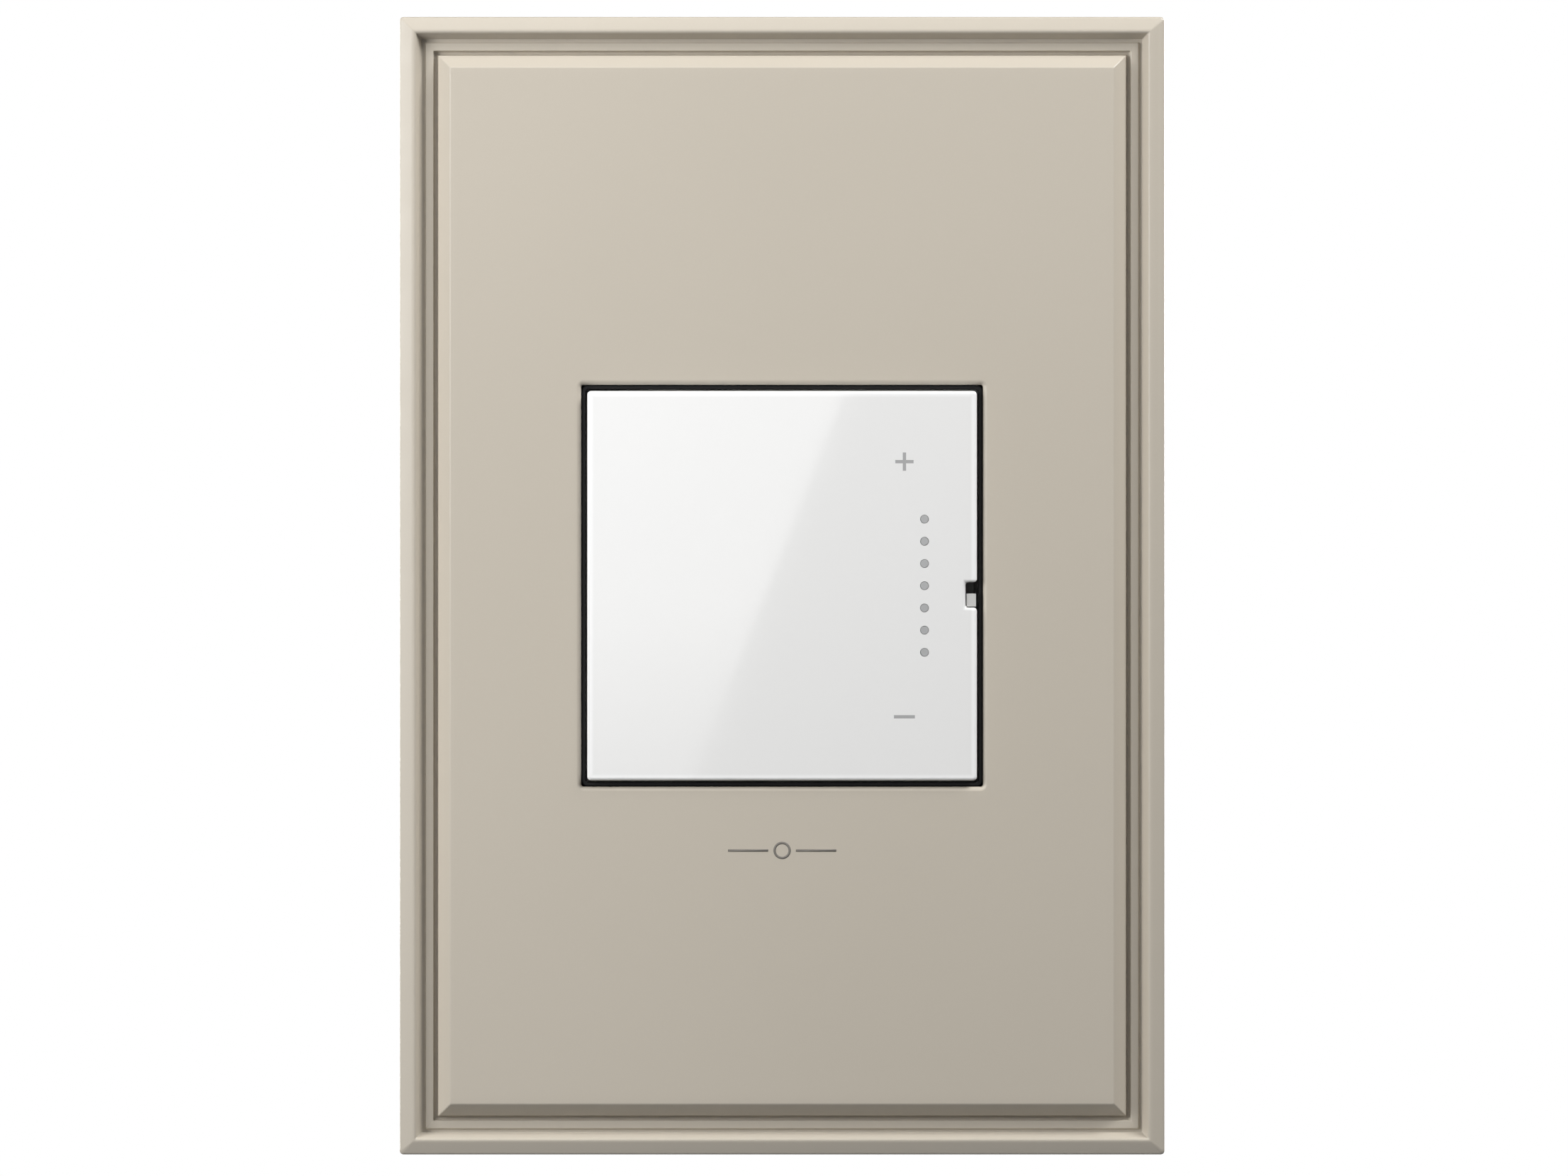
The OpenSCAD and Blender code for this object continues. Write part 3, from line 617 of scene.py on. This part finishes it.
def plate_shell():
    """The plate: a bead, a flat step between two grooves, and a bevel round a flat field with a window.
    Its section's points are (distance in from the edge, height above the wall) in millimetres."""
    low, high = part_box("wall_plate")
    half_x = high[0] / MM
    half_z = high[2] / MM
    top = -low[1] / MM
    half_window = 23.0
    window_corner = 0.25
    lip = 0.6
    bead = top - 0.2
    step = top - 1.5
    side = [(0.15, 0), (0, 0.15), (0, bead - 0.75), (0.03, bead - 0.6), (0.1, bead - 0.5)]
    crown = [(0.22, bead - 0.42), (1.3, bead - 0.07), (1.45, bead - 0.02)]
    crown += arc((1.6, bead - 0.35), 0.35, 90, 30, 6)
    foot_groove = [(2.45, step - 0.15), (2.52, step - 0.26), (2.62, step - 0.3), (2.8, step - 0.3),
                   (2.9, step - 0.24), (2.98, step - 0.03), (3.05, step)]
    wide_groove = [(3.78, step), (3.85, step - 0.05), (3.95, step - 0.55), (4.05, step - 0.65),
                   (4.25, step - 0.65), (4.35, step - 0.5), (4.42, step)]
    bevel = [(4.47, step + 0.09), (5.72, top - 0.09), (5.8, top - 0.025), (5.92, top), (6.8, top)]
    rings = [rect_ring((half_x - d) * MM, (half_z - d) * MM, max(0.45 - 0.3 * d, 0.14) * MM, -h * MM)
             for d, h in side + crown + foot_groove + wide_groove + bevel]
    for out, up in [(lip, 0.0)] + arc((lip, -lip), lip, 95, 180, 9)[1:]:
        half = (half_window + out) * MM
        rings.append(rect_ring(half, half, (window_corner + out) * MM, -(up + top) * MM))
    back = top - 2.0
    rings.append(rect_ring(half_window * MM, half_window * MM, window_corner * MM, -back * MM))
    for d, h in [(6.2, back), (4.9, top - 3.5), (2.2, top - 3.5), (2.0, top - 3.7), (2.0, 0.15), (1.85, 0)]:
        rings.append(rect_ring((half_x - d) * MM, (half_z - d) * MM, 0.4 * MM, -h * MM))
    shell = skin("plate_shell", rings, loop=True)
    carve(shell, [cuboid("pry_slot", (-6, -1.4, -half_z - 1), (6, 1, 3 - half_z))])
    soften(shell)
    return shell


def plate_stakes():
    """The twelve melted plastic stakes that hold the black frame to the back of the plate."""
    profile = [(1.9, 0), (1.95, 0.12), (1.8, 0.34), (1.3, 0.52), (0.6, 0.6), (0.45, 0.5), (0.05, 0.48)]
    frame_back = -4.42
    stakes = []
    for x, z in ((34, 18), (34, 50), (12, 52)):
        for sx, sz in ((1, 1), (1, -1), (-1, 1), (-1, -1)):
            seat = Vector((sx * x * MM, frame_back * MM, sz * z * MM))
            stakes.append(turned("stake", seat, (0, 1, 0), profile, 24))
    return joined("plate_stakes", stakes)


def plate_mark():
    """A plain printed ornament under the window: a fine line with a ring in the middle."""
    low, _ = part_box("wall_plate")
    y = low[1] - 0.012 * MM
    z = -30.3 * MM
    ring_radii = (0.72, 1.0)
    line_ends = (1.6, 6.2)
    half_stroke = 0.13
    mesh = bmesh.new()

    def strip(points_in, points_out, closed):
        a = [mesh.verts.new(p) for p in points_in]
        b = [mesh.verts.new(p) for p in points_out]
        for i in range(len(a) if closed else len(a) - 1):
            j = (i + 1) % len(a)
            mesh.faces.new((a[i], a[j], b[j], b[i]))

    turns = [2 * math.pi * k / 40 for k in range(40)]
    ring = [[Vector((r * MM * math.cos(t), y, z + r * MM * math.sin(t))) for t in turns] for r in ring_radii]
    strip(*ring, True)
    for side in (-1, 1):
        line = [[Vector((side * x * MM, y, z + up * MM)) for x in line_ends]
                for up in (-half_stroke, half_stroke)]
        strip(*line, False)
    solid = finished("plate_mark", mesh)
    thick = solid.modifiers.new("ink", "SOLIDIFY")
    thick.thickness = 0.02 * MM
    return solid


def make_plate():
    dress(plate_shell(), plate_paint(), "plate_assembly", "painted_plate", "wall_plate")
    dress(plate_stakes(), surface("stake_plastic", (0.50, 0.46, 0.39), rough=0.42, grain=(1800, 0.00001)),
          "plate_assembly", "painted_plate")
    ink = surface("printed_grey", (0.19, 0.175, 0.155), rough=0.5, grain=(3000, 0.000004), edge=0)
    dress(plate_mark(), ink, "plate_assembly", "painted_plate")
    paint(surface("liner_black", (0.009, 0.009, 0.0095), rough=0.55, spread=0.15, specular=0.25,
                  grain=(2600, 0.000006), edge=0.00015), "plate_liner")


# ---------------------------------------------------------------- touch face

def touch_face():
    """The glossy face: a square with rounded edges, a notch round the tab, and holes for lights and marks."""
    low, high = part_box("touch_lens")
    tab_low, tab_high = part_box("air_gap_slider")
    half = high[0]
    notch_left = tab_high[0] - 1.2 * MM
    notch_bottom = tab_low[2] - 0.1 * MM
    notch_top = tab_low[2] + 2.8 * MM
    outline = [(p.x, p.z) for p in rect_ring(half, half, 0.45 * MM, 0, 6)]
    right_side = next(i for i, p in enumerate(outline) if p[1] < 0)
    outline[right_side:right_side] = [(half, notch_top), (notch_left, notch_top), (notch_left, notch_bottom),
                                      (half, notch_bottom)]
    face = skin("touch_face", [[Vector((x, y, z)) for x, z in outline] for y in (high[1], low[1])])
    bevel = face.modifiers.new("rounded_edges", "BEVEL")
    bevel.width = 0.36 * MM
    bevel.segments = 5
    bevel.limit_method = "ANGLE"
    bevel.angle_limit = math.radians(40)
    cutters = []
    guide_low, guide_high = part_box("light_guide")
    x = (guide_low[0] + guide_high[0]) / 2
    dot_pitch = 2.54 * MM
    for i in range(-3, 4):
        z = i * dot_pitch
        cutters.append(round_bar("hole", (x, low[1] - 1 * MM, z), (x, high[1] + 1 * MM, z), 0.5 * MM))
    for left, right, bottom, top in mark_bars():
        cutters.append(cuboid("mark", (left, low[1] / MM - 1, bottom), (right, low[1] / MM + 0.3, top)))
    carve(face, cutters)
    soften(face)
    return face


def mark_bars():
    """The strokes of the plus and the minus, in millimetres: left, right, bottom, top."""
    low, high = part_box("touch_marks")
    x = (low[0] + high[0]) / 2 / MM
    half, arm, dash = 0.19, 1.05, 1.2
    plus = high[2] / MM - arm
    minus = low[2] / MM + half
    return [(x - arm, x + arm, plus - half, plus + half), (x - half, x + half, plus - arm, plus + arm),
            (x - dash, x + dash, minus - half, minus + half)]


def make_face():
    dress(touch_face(), gloss_face(), "chassis", "white_gloss", "touch_lens")
    paint(surface("inlay_grey", (0.40, 0.40, 0.405), rough=0.3, grain=(2500, 0.000003), edge=0),
          "touch_marks")
    paint(surface("light_pipe", (0.42, 0.425, 0.43), rough=0.15, grain=(900, 0.000003), edge=0.00005,
                  coat=0.5), "light_guide")
    # The tab is white plastic like the face; its mid grey colour is painted shade.
    paint(surface("tab_plastic_painted_shade", (0.57, 0.57, 0.56), rough=0.35, grain=(2200, 0.000004)), "air_gap_slider")


# ---------------------------------------------------------------- strap

def make_strap():
    paint(zinc(), "mounting_strap")
    spring = drawn("blued_spring", (0.36, 0.40, 0.47), (0.50, 0.42, 0.30), rough=0.2)
    paint(spring, "plate_spring_clips", "module_clips")
    paint(drawn("copper_strip", (0.80, 0.44, 0.28), (0.40, 0.20, 0.12), rough=0.24), "ground_strip")
    steel = drawn("screw_nickel", (0.72, 0.70, 0.66), (0.48, 0.45, 0.40), rough=0.2)
    low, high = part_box("box_screws")
    radius = 3.5
    strap_front = -1.2
    screws = []
    for z in (low[2] + radius * MM, high[2] - radius * MM):
        screws += machine_screw((0, strap_front * MM, z), (0, -1, 0), head=(radius, 1.7),
                                shank=(1.75, 1.38, 25.9), neck=1.25, twist=z * 900)
    dress(joined("box_screw_pair", screws), steel, "chassis", "screw_steel", "box_screws")


# ---------------------------------------------------------------- control board and shells

# The three chips in millimetres: left, bottom, right, top, and the pitch of their leads.
CHIPS = ((-6.5, 0, -0.5, 6, 0.8), (5, -9, 9, -4, 1.27), (-12, -6, -9, -3, 0.95))


def small_parts():
    """Ceramic capacitors and resistors on the back of the control board: bodies, and their tinned ends."""
    _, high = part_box("control_board")
    y = high[1] / MM
    chance = random.Random(7)
    header_and_switch = [(-7.5, 16, 7.5, 20), (-2, -1.5, 0.8, 1.5)]
    taken = [chip[:4] for chip in CHIPS] + header_and_switch
    pitch = 2.3
    clear_x, clear_z = 2.2, 1.9
    filled = 0.42
    cap = 0.25
    bodies, ends = [], []
    for column in range(-7, 8):
        for row in range(-7, 7):
            x, z = column * pitch, row * pitch + 0.6
            near = any(left - clear_x < x < right + clear_x and bottom - clear_z < z < top + clear_z
                       for left, bottom, right, top in taken)
            at_corner = abs(x) > 15.5 and abs(z) > 13
            if near or at_corner or chance.random() > filled:
                continue
            half_x, half_z = ((0.8, 0.42), (0.42, 0.8), (0.55, 0.3))[chance.randrange(3)]
            tall = chance.choice((0.4, 0.55, 0.7))
            bodies.append(cuboid("body", (x - half_x + 0.05, y, z - half_z + 0.03),
                                 (x + half_x - 0.05, y + tall, z + half_z - 0.03)))
            long, short = max(half_x, half_z), min(half_x, half_z)
            for s in (-1, 1):
                a, b = sorted((s * long, s * (long - cap)))
                near, far = ((a, -short), (b, short)) if half_x > half_z else ((-short, a), (short, b))
                ends.append(cuboid("end", (x + near[0], y - 0.02, z + near[1]),
                                   (x + far[0], y + tall + 0.03, z + far[1])))
    return joined("small_part_bodies", bodies), joined("small_part_ends", ends)


def chip_leads():
    """Gull-wing leads on both long sides of each chip."""
    _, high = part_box("control_board")
    y = high[1] / MM
    # The shoulder, the drop and the foot: from and to beside the chip, from and to above the board.
    bends = ((-0.1, 0.35, 0.38, 0.52), (0.22, 0.36, 0.02, 0.52), (0.22, 0.8, 0, 0.12))
    leads = []
    for left, bottom, right, top, pitch in CHIPS:
        count = int((top - bottom - 0.5) / pitch) + 1
        first = (top + bottom - (count - 1) * pitch) / 2
        for i in range(count):
            z = first + i * pitch
            w = 0.13 if pitch < 0.9 else 0.2
            for side, s in ((left, -1), (right, 1)):
                for a, b, low_y, high_y in bends:
                    xs = sorted((side + s * a, side + s * b))
                    leads.append(cuboid("lead", (xs[0], y + low_y, z - w), (xs[1], y + high_y, z + w)))
    return joined("chip_leads", leads)


def make_controls():
    paint(circuit_board("control_mask", (0.020, 0.115, 0.045), (0.035, 0.185, 0.075)), "control_board")
    paint(surface("chip_epoxy", (0.022, 0.022, 0.024), rough=0.45, grain=(3200, 0.000008), edge=0.0001),
          "control_chips")
    paint(surface("shroud_black", (0.015, 0.015, 0.016), rough=0.6, grain=(2400, 0.00001)), "led_shroud")
    paint(surface("phosphor", (0.80, 0.66, 0.22), rough=0.25, cloud=600, grain=(2500, 0.000005), coat=0.6),
          "level_leds")
    paint(surface("rubber", (0.035, 0.035, 0.037), rough=0.72, grain=(1400, 0.00002), specular=0.3),
          "sensor_contacts")
    paint(printed_film(), "sensor_film")
    plastic, gilt = ((0.02, 0.02, 0.022), 0.5, 0), ((0.83, 0.66, 0.32), 0.22, 1)
    paint(parts_along("header", "Y", ((-1, *plastic), (-0.0016, *gilt), (0.0096, *plastic))), "board_header")
    tin = drawn("tinned", (0.74, 0.74, 0.73), (0.55, 0.54, 0.52), rough=0.25)
    dress(chip_leads(), tin, "chassis", "tinned_copper")
    bodies, ends = small_parts()
    dress(bodies, surface("ceramic_parts", (0.19, 0.125, 0.08), rough=0.4, spread=0.5, cloud=150,
                          grain=(2500, 0.000005), edge=0.00005), "chassis", "black_plastic")
    dress(ends, tin, "chassis", "tinned_copper")


def make_shells():
    paint(surface("ivory_shell", (0.74, 0.735, 0.71), rough=0.42, spread=0.03, grain=(1800, 0.00001),
                  edge=0.0002), "front_bezel")
    paint(surface("housing_black", (0.021, 0.0215, 0.023), rough=0.56, rough_spread=0.1, spread=0.18,
                  cloud=80, grain=(2100, 0.000022), edge=0.0003), "rear_housing")
    paint(fibre_sheet(), "insulating_sheet")
    paint(rolled_sheet(), "heat_spreader")
    paint(surface("thermal_pad", (0.58, 0.57, 0.55), rough=0.62, spread=0.08, cloud=300,
                  grain=(2800, 0.000012)), "thermal_pads")
    low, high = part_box("housing_screws")
    radius, height = 2.0, 1.5
    screws = []
    for x in (low[0] + radius * MM, high[0] - radius * MM):
        for z in (low[2] + radius * MM, high[2] - radius * MM):
            screws += machine_screw((x, high[1] - height * MM, z), (0, 1, 0), head=(radius, height),
                                    shank=(1.1, 0.84, 34.8), neck=24, twist=x * 700 + z * 260, lead=1.0,
                                    slotted=False)
    steel = drawn("zinc_screw", (0.60, 0.60, 0.58), (0.48, 0.44, 0.33), rough=0.3)
    dress(joined("housing_screw_set", screws), steel, "chassis", "screw_steel", "housing_screws")


# ---------------------------------------------------------------- power stage

def choke_wire():
    """The choke's enamelled wire: one continuous winding round the ring, with both ends led to the board."""
    low, high = (Vector(v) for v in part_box("choke_core"))
    middle = (low + high) / 2
    r = 0.45 * MM
    bore_r = 5 * MM
    inner, outer = bore_r - r, (high.x - low.x) / 2 + r
    front, back = low.y - r, high.y + r
    corner = 0.55 * MM
    loop = []
    for cx, cy, start in ((inner + corner, front + corner, 180), (outer - corner, front + corner, 270),
                          (outer - corner, back - corner, 0), (inner + corner, back - corner, 90)):
        loop += [(cx + corner * math.cos(math.radians(a)), cy + corner * math.sin(math.radians(a)))
                 for a in range(start, start + 91, 30)]
    turns = 22
    wound_share = 0.975
    path = []
    for i in range(turns * len(loop)):
        radial, y = loop[i % len(loop)]
        angle = 2 * math.pi * (i / (turns * len(loop)) * wound_share)
        path.append(Vector((middle.x + radial * math.sin(angle), y, middle.z + radial * math.cos(angle))))
    path.insert(0, path[0] + Vector((0, -0.3 * MM, 0)))
    return swept("choke_wire", path, r, 10)


def capacitor_can():
    """An electrolytic can: a shrink sleeve folded over a rolled rim, and a scored aluminium top."""
    low, high = (Vector(v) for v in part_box("bulk_capacitor"))
    seat = Vector(((low.x + high.x) / 2, low.y, (low.z + high.z) / 2))
    tall = (high.y - low.y) / MM
    sleeve = turned("capacitor_sleeve", seat, (0, 1, 0), [
        (4.2, 0.1), (4.75, 0.1), (4.95, 0.5), (4.95, 1.6), (4.6, 2.1), (4.6, 2.4), (4.95, 2.9),
        (4.97, tall - 0.7), (4.85, tall - 0.25), (4.5, tall - 0.03), (4.1, tall), (3.75, tall - 0.06),
        (3.7, tall - 0.3)], 64)
    top = turned("capacitor_top", seat, (0, 1, 0),
                 [(4.0, tall - 0.5), (3.9, tall - 0.3), (0.05, tall - 0.3)], 64)
    cutters = []
    for k in range(3):
        cutter = cuboid("score", (-3.2, tall - 0.42, -0.12), (3.2, tall, 0.12))
        cutter.matrix_world = Matrix.Translation(seat) @ Matrix.Rotation(k * math.pi / 3, 4, "Y")
        cutters.append(cutter)
    bpy.context.view_layer.update()
    carve(top, cutters)
    return sleeve, top


def resistor_set():
    """Three bodies with swollen ends, and their bent leads into the board."""
    low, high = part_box("power_resistors")
    middle_z = (low[2] + high[2]) / 2
    profile = both_ways([(0.3, 3.9), (0.9, 3.8), (1.2, 3.5), (1.3, 3.1), (1.28, 2.7), (1.1, 2.3)], 1.08)
    axis_y, board_y = 9.6, 12.2
    bend = ((axis_y, 3.6), (axis_y, 3.8), (axis_y + 0.15, 3.98), (axis_y + 0.4, 4.0), (board_y, 4.0))
    bodies, leads = [], []
    for x in (4 * MM, 8 * MM, 12 * MM):
        bodies.append(turned("body", Vector((x, axis_y * MM, middle_z)), (0, 0, 1), profile, 32))
        for s in (-1, 1):
            path = [Vector((x, y * MM, middle_z + s * z * MM)) for y, z in bend]
            leads.append(swept("lead", path, 0.3 * MM, 10))
    return joined("resistor_bodies", bodies), joined("resistor_leads", leads)


def varistor_disc():
    """A dipped disc with rounded rims and two legs."""
    low, high = (Vector(v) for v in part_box("varistor"))
    radius = 5.0
    seat = Vector(((low.x + high.x) / 2, high.y - radius * MM, (low.z + high.z) / 2))
    disc = turned("varistor_disc", seat, (0, 0, 1),
                  both_ways([(0.05, 1.85), (3.2, 1.82), (4.3, 1.6), (4.85, 1.0)], radius), 56)
    legs = []
    for s in (-1, 1):
        x = seat.x + s * 2.5 * MM
        legs.append(round_bar("leg", (x, low.y, seat.z), (x, low.y + 4.6 * MM, seat.z), 0.35 * MM, 16))
        legs.append(turned("dip", Vector((x, low.y + 1.9 * MM, seat.z)), (0, 1, 0),
                           [(0.36, 0), (0.55, 0.5), (0.8, 1.4), (1.2, 2.6)], 20))
    return disc, joined("varistor_legs", legs)


def make_power():
    paint(circuit_board("power_laminate", (0.20, 0.135, 0.045), (0.27, 0.18, 0.065), cell=160), "power_board")
    paint(drawn("tab_nickel", (0.66, 0.65, 0.62), (0.56, 0.46, 0.34), rough=0.28), "transistor_tabs")
    paint(parts_along("transistor", "Y", ((-1, (0.021, 0.021, 0.023), 0.42, 0),
                                          (0.0063, (0.74, 0.74, 0.73), 0.26, 1))), "power_transistors")
    paint(drawn("pan_screw", (0.66, 0.66, 0.65), (0.45, 0.43, 0.40), rough=0.24), "transistor_screws")
    paint(surface("core_paint", (0.055, 0.085, 0.050), rough=0.42, spread=0.12, cloud=260,
                  grain=(1300, 0.00003), edge=0.0003), "choke_core")
    copper = surface("enamel_wire", (0.64, 0.23, 0.09), rough=0.24, spread=0.12, cloud=500,
                     grain=(2500, 0.000004), metal=0.85, coat=0.8, edge=0)
    dress(choke_wire(), copper, "chassis", "enamelled_copper", "choke_winding")
    paint(surface("film_case", (0.72, 0.47, 0.07), rough=0.33, spread=0.05, grain=(1500, 0.00001),
                  edge=0.0004, coat=0.2), "film_capacitor")
    sleeve, top = capacitor_can()
    dress(sleeve, sleeve_vinyl(), "chassis", "blue_sleeve", "bulk_capacitor")
    dress(top, drawn("can_top", (0.80, 0.80, 0.80), (0.62, 0.62, 0.63), rough=0.32),
          "chassis", "tinned_copper")
    disc, legs = varistor_disc()
    dress(disc, surface("dipped_blue", (0.035, 0.12, 0.36), rough=0.3, spread=0.1, cloud=350,
                        grain=(700, 0.00003), coat=0.4, edge=0), "chassis", "blue_epoxy", "varistor")
    tin = drawn("tinned_wire", (0.74, 0.74, 0.73), (0.55, 0.54, 0.52), rough=0.25)
    dress(legs, tin, "chassis", "tinned_copper")
    paint(surface("fuse_ceramic", (0.76, 0.74, 0.67), rough=0.36, spread=0.04, cloud=240,
                  grain=(1800, 0.000008)), "fuse_link")
    paint(drawn("fuse_caps", (0.72, 0.70, 0.66), (0.55, 0.50, 0.42), rough=0.22), "fuse_clips")
    bodies, leads = resistor_set()
    dress(bodies, banded(), "chassis", "resistor_lacquer", "power_resistors")
    dress(leads, tin, "chassis", "tinned_copper")


# ---------------------------------------------------------------- air gap switch

def spring_wire():
    """The contact spring: a coil of round wire, wound close at both ends."""
    low, high = (Vector(v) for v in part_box("contact_spring"))
    wire = 0.2 * MM
    radius = (high.x - low.x) / 2 - wire
    centre = (low + high) / 2
    turns = 5
    closed, closed_rise = 0.14, 0.04
    steps = 200
    path = []
    for i in range(steps + 1):
        t = i / steps
        if t < closed:
            rise = closed_rise * t / closed
        elif t > 1 - closed:
            rise = 1 - closed_rise * (1 - t) / closed
        else:
            rise = closed_rise + (1 - 2 * closed_rise) * (t - closed) / (1 - 2 * closed)
        angle = 2 * math.pi * turns * t
        y = low.y + wire + (high.y - low.y - 2 * wire) * rise
        path.append(Vector((centre.x + radius * math.cos(angle), y, centre.z + radius * math.sin(angle))))
    return swept("spring_wire", path, wire, 10)


def make_switch():
    brass = drawn("switch_brass", (0.78, 0.57, 0.26), (0.45, 0.29, 0.12), rough=0.24)
    paint(brass, "air_gap_arm", "air_gap_bracket")
    strip, inlay = ((0.76, 0.55, 0.25), 0.26, 1), ((0.86, 0.85, 0.82), 0.3, 1)
    paint(parts_along("contact_strip", "Y", ((-1, *strip), (0.00381, *inlay), (0.00466, *strip))),
          "fixed_contact")
    paint(drawn("silver", (0.88, 0.87, 0.84), (0.55, 0.52, 0.47), rough=0.28), "moving_contact")
    paint(drawn("pin_steel", (0.56, 0.57, 0.59), (0.40, 0.40, 0.41), rough=0.2), "air_gap_pin")
    spring = spring_wire()
    dress(spring, drawn("music_wire", (0.52, 0.53, 0.55), (0.38, 0.37, 0.36), rough=0.22),
          "chassis", "spring_steel", "contact_spring")
    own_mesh(spring)


# ---------------------------------------------------------------- terminals

def make_terminals():
    brass = drawn("terminal_brass", (0.78, 0.58, 0.27), (0.48, 0.31, 0.13), rough=0.27)
    clamp = serrated()
    heads = {"line": drawn("black_oxide", (0.045, 0.045, 0.048), (0.09, 0.075, 0.06), rough=0.32),
             "load": drawn("brass_screw", (0.80, 0.60, 0.27), (0.50, 0.33, 0.14), rough=0.22),
             "traveler": drawn("brass_screw_2", (0.80, 0.60, 0.27), (0.50, 0.33, 0.14), rough=0.22),
             "ground": drawn("green_screw", (0.05, 0.30, 0.10), (0.03, 0.16, 0.06), rough=0.3)}
    slots = {"line": "black_screw", "load": "brass_screw", "traveler": "brass_screw", "ground": "green_screw"}
    for order, (name, material) in enumerate(heads.items()):
        paint(brass, name + "_terminal")
        paint(clamp, name + "_clamp_plate")
        low, high = (Vector(v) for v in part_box(name + "_screw"))
        side = 1 if high.x > 0 else -1
        face = high.x if side > 0 else low.x
        height = 1.8
        seat = (face - side * height * MM, (low.y + high.y) / 2, (low.z + high.z) / 2)
        parts = machine_screw(seat, (side, 0, 0), head=(3.6, height), shank=(1.95, 1.58, 5.05), neck=0.1,
                              twist=0.5 + 0.7 * order)
        dress(joined(name + "_screw_turned", parts), material, name + "_terminal_screw", slots[name],
              name + "_screw")


make_camera()
bpy.context.scene.view_settings.view_transform = "Standard"
make_light()
make_card()
make_floor()
make_plate()
make_face()
make_strap()
make_controls()
make_shells()
make_power()
make_switch()
make_terminals()
